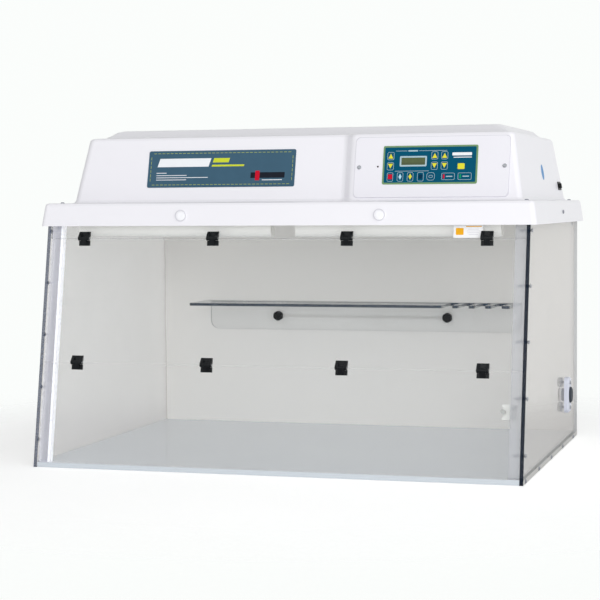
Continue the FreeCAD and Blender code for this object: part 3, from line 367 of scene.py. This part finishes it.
def clear_sheet(
    name,
    tint,
    edge_colour,
    edge_cover,
    veil,
    glance_veil,
    haze_colour=srgb(225, 230, 235),
    painted_edge_glow=0.0,
    edge_shine=0.3,
    least_shine=0.02,
    broad_direction=None,
    bend_height=None,
    painted_highlight_reach=None,
    painted_rear_edge=None,
    bond_height=None,
):
    """Clear cast sheet: polished broad faces with a faint haze, and edges with their own colour.

    A plane sheet gives the direction of its broad faces, and the bent shelf the height below
    which its flange starts. A depth and a colour paint the edge behind that depth lighter, as a
    painted highlight; the edges can also take a white glow of painted light, and the edge colour
    can be spread over a strip of a bar as a painted highlight.
    """
    made = new_material(name)
    through = add(made, "ShaderNodeBsdfTransparent", {"Color": tint}).outputs[0]
    mirror = {"Color": (1, 1, 1, 1), "Roughness": 0.03, "Normal": face_normal(made)}
    shine = add(made, "ShaderNodeBsdfGlossy", mirror).outputs[0]
    polished = blended(made, shine_share(made, least_shine), through, shine)
    haze = haze_share(made, veil, glance_veil)
    if bond_height is not None:
        haze = with_bond(made, haze, bond_height)
    dust = add(made, "ShaderNodeBsdfDiffuse", {"Color": haze_colour}).outputs[0]
    face = blended(made, haze, polished, dust)

    saw = noise(made, 260)
    edge_tone = two_colours(
        made, spread(made, saw, 0.0, 1.0), shaded(edge_colour, 0.75), shaded(edge_colour, 1.25)
    )
    # Painted highlight: the edge behind the given depth takes its own colour, lighter where it
    # catches light.
    if painted_rear_edge is not None:
        rear_line, painted_rear_colour = painted_rear_edge
        depth = axis_part(made, object_place(made), "Y")
        at_rear = compute(made, "GREATER_THAN", depth, rear_line)
        edge_tone = two_colours(made, at_rear, edge_tone, painted_rear_colour)
    edge = add(
        made,
        "ShaderNodeBsdfPrincipled",
        {
            "Base Color": edge_tone,
            "Roughness": 0.25,
            "Specular IOR Level": edge_shine,
            # Painted light: the edges glow white.
            "Emission Color": (1, 1, 1, 1),
            "Emission Strength": painted_edge_glow,
            "Normal": bumped(made, saw, 0.02, 0.1),
        },
    ).outputs[0]
    side = blended(made, edge_cover, through, edge)

    if bend_height is None:
        share = edge_share(made, broad_direction)
    else:
        share = shelf_edge_share(made, bend_height)
    if painted_highlight_reach is not None:
        share = with_painted_highlight(made, share, painted_highlight_reach)
    return finish_material(made, blended(made, share, face, side))


lean = math.radians(10.35)
door_out = (0.0, -math.cos(lean), math.sin(lean))
side_out = (1, 0, 0)
door_tint = (0.972, 0.978, 0.982, 1.0)
panel_tint = (0.985, 0.974, 0.972, 1.0)
rear_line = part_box("left_side_panel")[1][1] - 1.0 * MM
base_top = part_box("base_panel")[1][2]
shelf_underside = 0.2405
left_post_painted_highlight = 0.3855

right_panel_clear = clear_sheet(
    "right_panel_clear",
    panel_tint,
    srgb(12, 26, 42),
    edge_cover=0.96,
    veil=0.01,
    glance_veil=0.26,
    haze_colour=srgb(226, 225, 222),
    edge_shine=0.06,
    broad_direction=side_out,
    # Painted highlight: a light grey rear edge among dark edges.
    painted_rear_edge=(rear_line, srgb(186, 190, 196)),
    bond_height=base_top,
)
left_panel_clear = clear_sheet(
    "left_panel_clear",
    panel_tint,
    srgb(66, 78, 100),
    edge_cover=0.8,
    veil=0.01,
    glance_veil=0.56,
    haze_colour=srgb(238, 236, 233),
    edge_shine=0.1,
    broad_direction=side_out,
    # Painted highlight: a near white rear edge, where the corner seam catches light.
    painted_rear_edge=(rear_line, srgb(246, 245, 243)),
)
door_clear = clear_sheet(
    "door_clear",
    door_tint,
    srgb(236, 236, 238),
    edge_cover=0.6,
    veil=0.002,
    glance_veil=0.012,
    # Painted light: a faint white glow on the doors' edges.
    painted_edge_glow=0.1,
    least_shine=0.006,
    broad_direction=door_out,
)
transom_clear = clear_sheet(
    "transom_clear",
    door_tint,
    srgb(176, 180, 186),
    edge_cover=0.6,
    veil=0.004,
    glance_veil=0.02,
    least_shine=0.006,
    broad_direction=door_out,
)
# Painted highlight: the post's white, glowing edge colour, spread over a strip along its inner
# edge.
left_post_clear = clear_sheet(
    "left_post_clear",
    (0.93, 0.93, 0.95, 1),
    srgb(250, 250, 254),
    edge_cover=0.95,
    veil=0.45,
    glance_veil=0.1,
    haze_colour=srgb(208, 207, 215),
    painted_edge_glow=0.3,
    broad_direction=door_out,
    painted_highlight_reach=left_post_painted_highlight,
)
right_post_clear = clear_sheet(
    "right_post_clear",
    (0.95, 0.95, 0.955, 1),
    srgb(222, 222, 226),
    edge_cover=0.5,
    veil=0.34,
    glance_veil=0.1,
    haze_colour=srgb(226, 226, 229),
    broad_direction=door_out,
)
shelf_clear = clear_sheet(
    "shelf_clear",
    (0.975, 0.978, 0.98, 1),
    srgb(44, 58, 74),
    edge_cover=0.92,
    veil=0.004,
    glance_veil=0.01,
    bend_height=shelf_underside,
)

# After the colour: roughness, mottle and its scale, grain and its depth in millimetres

back_white = moulded(
    "back_white",
    srgb(236, 234, 230),
    0.5, 0.012, 4, 9, 0.05,
    specular=0.3,
    # Painted light, strongest low at the left, and painted shade towards the top at the right,
    # where the hood's shadow falls.
    painted_glow_fade=((-0.2, 0, 0.05), (0.3, 0, 0.36), 0.1, 0.01),
    flat=True,
)
hood_plastic = moulded(
    "hood_plastic",
    srgb(241, 240, 245),
    0.34, 0.003, 3, 9, 0.02,
    coat=0.12,
    roughness_spread=0.02,
)
plate_plastic = moulded("plate_plastic", srgb(237, 236, 242), 0.36, 0.005, 9, 1400, 0.01)
hinge_plastic = moulded(
    "hinge_plastic", srgb(9, 13, 17), 0.36, 0.2, 60, 1600, 0.03, specular=0.22
)
# Painted light: the ceiling tray and the lamp reflectors glow faintly where the hood shades them.
white_paint = moulded("white_paint", srgb(240, 238, 233), 0.42, 0.02, 20, 1300, 0.02, painted_glow=0.1)
holder_plastic = moulded("holder_plastic", srgb(238, 237, 231), 0.4, 0.03, 30, 1200, 0.04)
switch_plastic = moulded("switch_plastic", srgb(244, 243, 238), 0.38, 0.03, 30, 1200, 0.04)
plug_plastic = moulded("plug_plastic", srgb(248, 248, 252), 0.22, 0.01, 30, 900, 0.02, coat=0.3)
black_plastic = moulded(
    "black_plastic", srgb(12, 14, 17), 0.36, 0.15, 40, 1500, 0.03, specular=0.1
)
rubber = moulded("rubber", srgb(56, 62, 70), 0.62, 0.1, 50, 1100, 0.06, specular=0.3)
nut_plastic = moulded("nut_plastic", srgb(62, 64, 68), 0.45, 0.05, 40, 1100, 0.05)
flange_plastic = moulded("flange_plastic", srgb(218, 222, 236), 0.35, 0.02, 30, 1100, 0.02)
board_resin = moulded("board_resin", srgb(38, 104, 62), 0.35, 0.18, 160, 900, 0.03, coat=0.3)
ballast_paint = moulded("ballast_paint", srgb(226, 227, 224), 0.4, 0.03, 25, 900, 0.03)
tube_phosphor = moulded("tube_phosphor", srgb(252, 251, 244), 0.2, 0.01, 20, 400, 0.01, coat=0.6)
tube_quartz = moulded("tube_quartz", srgb(222, 230, 238), 0.08, 0.03, 20, 300, 0.01, coat=0.8)
lens_red = moulded("lens_red", srgb(40, 8, 12), 0.2, 0.1, 90, 900, 0.02, coat=0.6)

film_border = print_and_shade_film("film_border", srgb(118, 152, 108))
film_field = print_and_shade_film("film_field", srgb(2, 82, 110))
film_line = print_and_shade_film("film_line", srgb(176, 200, 208))
film_yellow = print_and_shade_film("film_yellow", srgb(228, 222, 60))
film_red = print_and_shade_film("film_red", srgb(200, 22, 48))
film_blue = print_and_shade_film("film_blue", srgb(178, 222, 240))
film_green = print_and_shade_film("film_green", srgb(20, 150, 96))
film_navy = print_and_shade_film("film_navy", srgb(6, 50, 76))
plate_slate = print_and_shade_film("plate_slate", srgb(66, 97, 117), 0.04)
plate_line = print_and_shade_film("plate_line", srgb(176, 188, 92))
plate_pale = print_and_shade_film("plate_pale", srgb(240, 243, 246), 0.02)
plate_lime = print_and_shade_film("plate_lime", srgb(206, 216, 60))
plate_dark = print_and_shade_film("plate_dark", srgb(30, 34, 44), 0.1)
sticker_blue = print_and_shade_film("sticker_blue", srgb(112, 158, 206))
# Painted shade on the rims round the control plate and the skirt plugs; print on the transom
# label's grey rules.
shade_and_print_grey = print_and_shade_film("shade_and_print_grey", srgb(214, 213, 220), 0.02)
label_white = print_and_shade_film("label_white", srgb(246, 247, 248), 0.01)
film_amber = print_and_shade_film("film_amber", srgb(240, 176, 40))

floor_polished = floor_sheet()

# After the colour: roughness, how the drawn lines are stretched, and how fine they are

steel = metal("steel", srgb(176, 178, 184), 0.3, (1, 1, 1), 700)
dark_steel = metal("dark_steel", srgb(150, 152, 162), 0.36, (1, 1, 1), 900)
bracket_plate = metal("bracket_plate", srgb(214, 220, 228), 0.14, (1, 10, 1), 300)
dull_nickel = metal("dull_nickel", srgb(160, 160, 158), 0.5, (1, 1, 8), 500)
brass = metal("brass", srgb(206, 176, 104), 0.28, (1, 1, 6), 600)

display = display_glass()

node_materials = {
    "base_panel": floor_polished,
    "left_side_panel": left_panel_clear,
    "right_side_panel": right_panel_clear,
    "back_panel": back_white,
    "left_corner_post": left_post_clear,
    "right_corner_post": right_post_clear,
    "transom_panel": transom_clear,
    "upper_door_panel": door_clear,
    "lower_door_panel": door_clear,
    "upper_hinge_fixed_leaves": hinge_plastic,
    "upper_hinge_door_leaves": hinge_plastic,
    "upper_hinge_pins": steel,
    "middle_hinge_upper_leaves": hinge_plastic,
    "middle_hinge_lower_leaves": hinge_plastic,
    "middle_hinge_pins": steel,
    "left_post_screws": steel,
    "right_post_screws": steel,
    "left_base_screws": dark_steel,
    "right_base_screws": dark_steel,
    "hood_shell": hood_plastic,
    "hood_brackets": bracket_plate,
    "bracket_screws": steel,
    "ledge_screws": dark_steel,
    "skirt_side_screws": dark_steel,
    "skirt_plugs": plug_plastic,
    "ceiling_tray": white_paint,
    "control_plate": plate_plastic,
    "control_plate_screws": steel,
    "keypad": film_border,
    "display_module": display,
    "control_board": board_resin,
    "board_spacers": brass,
    "status_light": lens_red,
    "name_plate": plate_slate,
    "uv_lamp_reflector": white_paint,
    "uv_lamp_tube": tube_quartz,
    "uv_lamp_holders": holder_plastic,
    "uv_lamp_ballast": ballast_paint,
    "white_lamp_reflector": white_paint,
    "white_lamp_tube": tube_phosphor,
    "white_lamp_holders": holder_plastic,
    "white_lamp_ballast": ballast_paint,
    "power_switch_bezel": black_plastic,
    "power_rocker": black_plastic,
    "power_inlet": black_plastic,
    "power_inlet_screws": steel,
    "shelf": shelf_clear,
    "shelf_knob_left": black_plastic,
    "shelf_knob_right": black_plastic,
    "door_switch": switch_plastic,
    "door_switch_screws": steel,
    "door_magnet": dull_nickel,
    "port_flange": flange_plastic,
    "port_plug": rubber,
    "port_screws": steel,
    "port_nuts": nut_plastic,
}

for node_name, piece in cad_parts.items():
    piece.data.materials.clear()
    piece.data.materials.append(node_materials[node_name])

# Printed and glued details, and rims of painted shade, each a thin layer on the face that
# carries it. A face's own places are in millimetres: across from the middle of the box, and
# up the slope from its foot.


def face_matrix(origin_mm, right, up):
    right = Vector(right).normalized()
    up = Vector(up).normalized()
    out = right.cross(up)
    made = Matrix((right, up, out)).transposed().to_4x4()
    made.translation = Vector(origin_mm) * MM
    return made


ledge_height = 434.0
housing_height = 110.0
housing_front = -175.57
housing_half_width = 386.0
pod_front = -187.57
front_angle = math.atan2(28.0, housing_height)
side_angle = math.atan2(18.0, housing_height)
across = (1, 0, 0)
front_up = (0, math.sin(front_angle), math.cos(front_angle))
side_up = (-math.sin(side_angle), 0, math.cos(side_angle))
main_face = face_matrix((0, housing_front, ledge_height), across, front_up)
pod_face = face_matrix((0, pod_front, ledge_height), across, front_up)
side_face = face_matrix((housing_half_width, 0, ledge_height), (0, 1, 0), side_up)


def rounded_box(x0, y0, x1, y1, radius, steps=5):
    """The outline of a box with rounded corners, counter-clockwise."""
    corners = [
        (x1 - radius, y0 + radius, -90),
        (x1 - radius, y1 - radius, 0),
        (x0 + radius, y1 - radius, 90),
        (x0 + radius, y0 + radius, 180),
    ]
    points = []
    for cx, cy, start in corners:
        for step in range(steps + 1):
            angle = math.radians(start + 90 * step / steps)
            points.append((cx + radius * math.cos(angle), cy + radius * math.sin(angle)))
    return points


def oval(cx, cy, half_width, half_height, steps=32):
    points = []
    for step in range(steps):
        angle = 2 * math.pi * step / steps
        points.append((cx + half_width * math.cos(angle), cy + half_height * math.sin(angle)))
    return points


def lozenge(cx, cy, half_width, half_height):
    return [
        (cx - half_width, cy),
        (cx, cy - half_height),
        (cx + half_width, cy),
        (cx, cy + half_height),
    ]


def arrow(cx, cy, half_width, half_height, way):
    """A triangle that points up with way 1 and down with way -1."""
    return [
        (cx - half_width, cy - way * half_height),
        (cx + half_width, cy - way * half_height),
        (cx, cy + way * half_height),
    ]


def slanted(x0, y0, x1, y1, shift):
    return [(x0, y0), (x1, y0), (x1 + shift, y1), (x0 + shift, y1)]


def outline(x0, y0, x1, y1, radius, line):
    """A thin frame as two loops, the inner one a hole."""
    inner = max(radius - line, 0.2)
    return [
        rounded_box(x0, y0, x1, y1, radius),
        rounded_box(x0 + line, y0 + line, x1 - line, y1 - line, inner),
    ]


def dashes(x0, y0, x1, y1, line, length, gap):
    """Short dashes round a box, clear of its corners."""
    made = []
    pitch = length + gap
    dash_count = int((x1 - x0 - 2 * gap) // pitch)
    start = (x0 + x1 - dash_count * pitch + gap) / 2
    for step in range(dash_count):
        left = start + step * pitch
        for low in (y0, y1 - line):
            made.append(rounded_box(left, low, left + length, low + line, line / 3, 2))
    dash_count = int((y1 - y0 - 2 * gap) // pitch)
    start = (y0 + y1 - dash_count * pitch + gap) / 2
    for step in range(dash_count):
        foot = start + step * pitch
        for left in (x0, x1 - line):
            made.append(rounded_box(left, foot, left + line, foot + length, line / 3, 2))
    return made


layer = 0.06


def print_and_shade_layer(name, face, loops, height, material, thickness=layer):
    """Loops on a face, made into one thin layer whose underside is at height above the face."""
    curve = bpy.data.curves.new(name, "CURVE")
    curve.dimensions = "2D"
    curve.fill_mode = "BOTH"
    curve.extrude = thickness / 2 * MM
    for loop in loops:
        spline = curve.splines.new("POLY")
        spline.points.add(len(loop) - 1)
        for point, (x, y) in zip(spline.points, loop):
            point.co = (x * MM, y * MM, 0.0, 1.0)
        spline.use_cyclic_u = True
    source = bpy.data.objects.new(name + "_outline", curve)
    bpy.context.scene.collection.objects.link(source)
    bpy.context.view_layer.update()
    evaluated = source.evaluated_get(bpy.context.evaluated_depsgraph_get())
    mesh = bpy.data.meshes.new_from_object(evaluated)
    bpy.data.objects.remove(source)
    lifted = Matrix.Translation((0, 0, (height + thickness / 2) * MM))
    mesh.transform(face @ lifted)
    mesh.name = name
    mesh.materials.clear()
    mesh.materials.append(material)
    made = bpy.data.objects.new(name, mesh)
    bpy.context.scene.collection.objects.link(made)
    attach(made, "cabinet")


# The keypad: its field, then the lines on the field, then the signs on and beside the keys

field_height = 2.9
line_height = field_height + layer
sign_height = line_height + layer
key_line = 0.55

arrow_keys = [(164.6, 175.6), (237.0, 247.8), (253.2, 264.0)]
lower_keys = [(165.4, 175.4), (182.0, 192.0), (198.6, 208.6), (215.2, 225.6)]
key_frames = []
for left, right in arrow_keys:
    key_frames.append((left, 67.6, right, 80.6, 2.4))
    key_frames.append((left, 50.6, right, 63.6, 2.4))
for left, right in lower_keys:
    key_frames.append((left, 31.6, right, 46.6, 2.6))
key_frames += [
    (230.6, 33.0, 243.8, 46.0, 4.4),
    (234.0, 37.4, 240.4, 41.6, 1.6),
    (254.8, 33.4, 276.2, 45.0, 2.2),
    (281.4, 33.4, 303.4, 45.0, 2.2),
]
key_lines = []
for key_frame in key_frames:
    key_lines += outline(*key_frame, key_line)

arrows = []
for left, right in arrow_keys:
    arrows.append(arrow((left + right) / 2, 73.9, 4.1, 4.0, 1))
    arrows.append(arrow((left + right) / 2, 57.3, 4.1, 4.0, -1))

display_window = rounded_box(187.9, 58.9, 227.1, 71.1, 0.4)
keypad_field = [rounded_box(160.2, 29.7, 309.8, 88.3, 1.6), display_window]
display_frame = [rounded_box(185.4, 56.4, 229.6, 73.6, 1.6), display_window]
group_rules = [
    rounded_box(178.0, 82.0, 197.0, 82.6, 0.2),
    rounded_box(216.0, 82.0, 262.0, 82.6, 0.2),
    rounded_box(178.0, 48.4, 234.0, 49.0, 0.2),
]
caption_field = [rounded_box(198.6, 81.2, 214.4, 83.4, 0.5)]
red_key = [rounded_box(166.8, 35.6, 174.0, 43.6, 0.8)]
blue_key = [lozenge(187.0, 39.4, 2.6, 5.0)]
yellow_key = [lozenge(203.6, 39.6, 2.8, 5.0)]
dark_key = [rounded_box(217.4, 35.6, 223.4, 43.0, 1.6)]
red_bar = [rounded_box(257.2, 35.8, 259.8, 42.6, 0.6)]
green_bar = [rounded_box(284.0, 35.8, 286.6, 42.6, 0.6)]
plain_fields = [
    rounded_box(262.2, 38.4, 272.6, 40.0, 0.4),
    rounded_box(289.0, 38.4, 299.6, 40.0, 0.4),
]
title_fields = [
    rounded_box(271.0, 73.6, 302.6, 78.6, 0.8),
    rounded_box(273.0, 70.0, 302.6, 71.3, 0.4),
]
notice_field = [rounded_box(280.4, 51.0, 291.6, 60.6, 1.6)]

keypad_print = [
    ("keypad_field", keypad_field, field_height, film_field, "keypad_teal"),
    ("keypad_key_lines", key_lines, line_height, film_line, "keypad_teal"),
    ("keypad_display_frame", display_frame, line_height, film_line, "keypad_teal"),
    ("keypad_group_rules", group_rules, line_height, film_line, "keypad_teal"),
    ("keypad_caption_field", caption_field, line_height, film_line, "keypad_teal"),
    ("keypad_arrows", arrows, sign_height, film_yellow, "keypad_teal"),
    ("keypad_red_key", red_key, sign_height, film_red, "light_red"),
    ("keypad_blue_key", blue_key, sign_height, film_blue, "keypad_teal"),
    ("keypad_yellow_key", yellow_key, sign_height, film_yellow, "keypad_teal"),
    ("keypad_dark_key", dark_key, sign_height, film_navy, "keypad_teal"),
    ("keypad_red_bar", red_bar, sign_height, film_red, "light_red"),
    ("keypad_green_bar", green_bar, sign_height, film_green, "keypad_teal"),
    ("keypad_plain_fields", plain_fields, sign_height, film_line, "keypad_teal"),
    ("keypad_title_fields", title_fields, sign_height, plate_pale, "keypad_teal"),
    ("keypad_notice_field", notice_field, sign_height, film_yellow, "keypad_teal"),
]
for name, loops, height, material, slot in keypad_print:
    print_and_shade_layer(name, pod_face, loops, height, material)

# The name plate, with plain fields and bars in the places of its print

plate_top = 0.8
border = dashes(-249.0, 30.2, 1.0, 85.3, 0.7, 5.2, 2.2)
pale_field = [slanted(-237.0, 61.5, -146.0, 76.0, 4.0)]
lime_field = [slanted(-139.0, 68.5, -111.0, 76.0, 2.0), slanted(-140.6, 61.5, -84.0, 64.6, 0.9)]
rules = [
    rounded_box(-238.0, 50.4, -220.0, 51.5, 0.4),
    rounded_box(-238.0, 46.2, -184.0, 47.2, 0.4),
    rounded_box(-238.0, 42.4, -146.0, 43.4, 0.4),
    rounded_box(-238.0, 38.6, -184.0, 39.6, 0.4),
]
dark_field = [rounded_box(-71.0, 41.0, -12.0, 50.6, 0.5)]
red_field = [rounded_box(-63.0, 37.0, -55.4, 53.4, 0.5)]
last_rule = [rounded_box(-51.0, 37.0, -16.0, 38.2, 0.4)]

name_plate_print = [
    ("name_plate_border", border, plate_top, plate_line),
    ("name_plate_pale_field", pale_field, plate_top, plate_pale),
    ("name_plate_lime_field", lime_field, plate_top, plate_lime),
    ("name_plate_rules", rules, plate_top, plate_pale),
    ("name_plate_dark_field", dark_field, plate_top, plate_dark),
    ("name_plate_red_field", red_field, plate_top + layer, film_red),
    ("name_plate_last_rule", last_rule, plate_top, plate_pale),
]
for name, loops, height, material in name_plate_print:
    print_and_shade_layer(name, main_face, loops, height, material)

side_label = [oval(71.0, 48.6, 12.0, 13.4, 40)]
print_and_shade_layer("side_oval_label", side_face, side_label, 0.0, sticker_blue, 0.2)

# Painted shade: soft grey rims round the control plate and the skirt plugs, where their shadow gaps
# fall

plate_low, plate_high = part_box("control_plate")
rim_side = 0.9
rim_end = 0.6
rim_foot = (plate_low[2] / MM - ledge_height) / math.cos(front_angle)
rim_head = (plate_high[2] / MM - ledge_height) / math.cos(front_angle)
plate_shade_rim = outline(
    plate_low[0] / MM - rim_side,
    rim_foot - rim_end,
    plate_high[0] / MM + rim_side,
    rim_head + rim_end,
    7.0,
    1.0,
)
print_and_shade_layer("control_plate_shade_rim", pod_face, plate_shade_rim, 0.0, shade_and_print_grey, 0.3)

plugs_low, plugs_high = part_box("skirt_plugs")
plug_radius = (plugs_high[2] - plugs_low[2]) / 2 / MM
plug_height = (plugs_high[2] + plugs_low[2]) / 2 / MM
hole_radius = plug_radius - 1.3
# Painted shade: a grey ring round each skirt plug.
shade_ring = [oval(0, 0, plug_radius, plug_radius), oval(0, 0, hole_radius, hole_radius)]
for plug_name, plug_x in {
    "left": plugs_low[0] / MM + plug_radius,
    "right": plugs_high[0] / MM - plug_radius,
}.items():
    plug_face = face_matrix((plug_x, plugs_low[1] / MM, plug_height), across, (0, 0, 1))
    print_and_shade_layer(plug_name + "_plug_shade_ring", plug_face, shade_ring, 0.0, shade_and_print_grey)

# The transom's label, with a plain square and bars in the places of its print

transom_low, transom_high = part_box("transom_panel")
run_back = transom_high[1] - transom_low[1]
rise = transom_high[2] - transom_low[2]
sheet_thickness = (run_back * math.cos(lean) - rise * math.sin(lean)) / math.cos(2 * lean)
transom_foot = transom_low[2] + sheet_thickness * math.sin(lean)
transom_face = face_matrix(
    (0, transom_low[1] / MM, transom_foot / MM),
    across,
    (0, math.sin(lean), math.cos(lean)),
)
label_box = [rounded_box(285.0, 0.4, 331.6, 21.6, 0.6)]
label_square = [rounded_box(288.6, 5.0, 301.0, 16.0, 1.2)]
label_rule = [rounded_box(304.6, 17.8, 329.6, 19.2, 0.4)]
grey_rules = [
    rounded_box(308.0, 13.6, 325.0, 14.4, 0.3),
    rounded_box(306.0, 10.8, 327.0, 11.6, 0.3),
    rounded_box(307.0, 8.0, 326.0, 8.8, 0.3),
    rounded_box(309.0, 5.2, 324.0, 6.0, 0.3),
]

transom_print = [
    ("transom_label", label_box, 0.0, label_white),
    ("transom_label_field", label_square, layer, film_amber),
    ("transom_label_rule", label_rule, layer, film_amber),
    ("transom_label_grey_rules", grey_rules, layer, shade_and_print_grey),
]
for name, loops, height, material in transom_print:
    print_and_shade_layer(name, transom_face, loops, height, material)

# Floor and background


def stage_floor():
    """Pale floor that keeps the object's shadow and fades into the white background."""
    half = 4.0
    drop = 0.0006
    fade_start = 0.45
    fade_end = 1.25
    mesh = bpy.data.meshes.new("floor")
    corners = [(-half, -half, 0), (half, -half, 0), (half, half, 0), (-half, half, 0)]
    mesh.from_pydata(corners, [], [(0, 1, 2, 3)])
    made = bpy.data.objects.new("floor", mesh)
    bpy.context.scene.collection.objects.link(made)
    made.location = (0, 0, -drop)
    paper = new_material("floor_paper")
    tone = spread(paper, noise(paper, 3), 0.0, 1.0)
    base = two_colours(paper, tone, srgb(246, 247, 246), srgb(249, 250, 249))
    matt = add(paper, "ShaderNodeBsdfDiffuse", {"Color": base}).outputs[0]
    distance = add(
        paper, "ShaderNodeVectorMath", {0: object_place(paper)}, operation="LENGTH"
    ).outputs["Value"]
    fade = map_range(paper, distance, fade_start, fade_end, 0.0, 1.0, "SMOOTHERSTEP")
    lift = add(paper, "ShaderNodeEmission", {"Strength": 0.42}).outputs[0]
    lit = add(paper, "ShaderNodeAddShader", {0: matt, 1: lift}).outputs[0]
    seen = add(paper, "ShaderNodeLightPath").outputs["Is Camera Ray"]
    shown = blended(paper, seen, matt, lit)
    gone = add(paper, "ShaderNodeBsdfTransparent").outputs[0]
    mesh.materials.append(finish_material(paper, blended(paper, fade, shown, gone)))


def studio_world():
    """White where it is seen, directly or in a reflection, and a soft sloping light elsewhere."""
    world = bpy.data.worlds.new("studio")
    bpy.context.scene.world = world
    world.use_nodes = True
    world.node_tree.nodes.clear()
    white = {"Color": (0.965, 0.985, 0.97, 1), "Strength": 1.0}
    seen_sky = add(world, "ShaderNodeBackground", white).outputs[0]
    direction = add(world, "ShaderNodeTexCoord").outputs["Generated"]
    level = compute(world, "ADD", along(world, direction, (0.35, -0.23, -0.19)), 0.6)
    soft = {"Color": (0.985, 0.99, 1.0, 1), "Strength": level}
    lighting_sky = add(world, "ShaderNodeBackground", soft).outputs[0]
    ray = add(world, "ShaderNodeLightPath").outputs
    camera_or_gloss = compute(world, "MAXIMUM", ray["Is Camera Ray"], ray["Is Glossy Ray"])
    any_seen = compute(world, "MAXIMUM", camera_or_gloss, ray["Is Transmission Ray"])
    choice = blended(world, any_seen, lighting_sky, seen_sky)
    add(world, "ShaderNodeOutputWorld", {"Surface": choice})


def softbox(name, place, aim, width, height, power, colour):
    """A rectangular lamp at place that points at aim and isn't seen itself."""
    data = bpy.data.lights.new(name, "AREA")
    data.shape = "RECTANGLE"
    data.size = width
    data.size_y = height
    data.energy = power
    data.color = colour
    made = bpy.data.objects.new(name, data)
    bpy.context.scene.collection.objects.link(made)
    made.location = place
    toward = Vector(aim) - Vector(place)
    made.rotation_euler = toward.to_track_quat("-Z", "Y").to_euler()
    made.visible_camera = False


stage_floor()
studio_world()
middle = (0, 0, 0.3)
softbox("key_softbox", (2.66, -3.29, 1.85), middle, 2.6, 2.6, 30, (1.0, 0.995, 0.99))
softbox("front_softbox", (0.75, -4.1, 0.75), middle, 2.0, 1.6, 38, (1.0, 0.998, 0.995))

# Camera at the photograph's viewpoint, with its angles in radians

yaw, pitch, roll = 0.289, 0.0544, -0.0068
viewpoint = (0.8389, -2.9424, 0.4298)
forward = Vector(
    (-math.sin(yaw) * math.cos(pitch), math.cos(yaw) * math.cos(pitch), -math.sin(pitch))
)
level_right = Vector((math.cos(yaw), math.sin(yaw), 0))
level_up = level_right.cross(forward)
right = level_right * math.cos(roll) + level_up * math.sin(roll)
up = level_up * math.cos(roll) - level_right * math.sin(roll)
lens_data = bpy.data.cameras.new("photo_camera")
lens_data.sensor_width = 36.0
lens_data.lens = 105.443
lens_data.clip_start = 0.05
lens_data.clip_end = 100.0
camera = bpy.data.objects.new("photo_camera", lens_data)
bpy.context.scene.collection.objects.link(camera)
turned = Matrix((right, up, -forward)).transposed().to_4x4()
camera.matrix_world = Matrix.Translation(viewpoint) @ turned
bpy.context.scene.camera = camera

bpy.context.scene.view_settings.view_transform = "Standard"
bpy.context.scene.cycles.transparent_max_bounces = 24
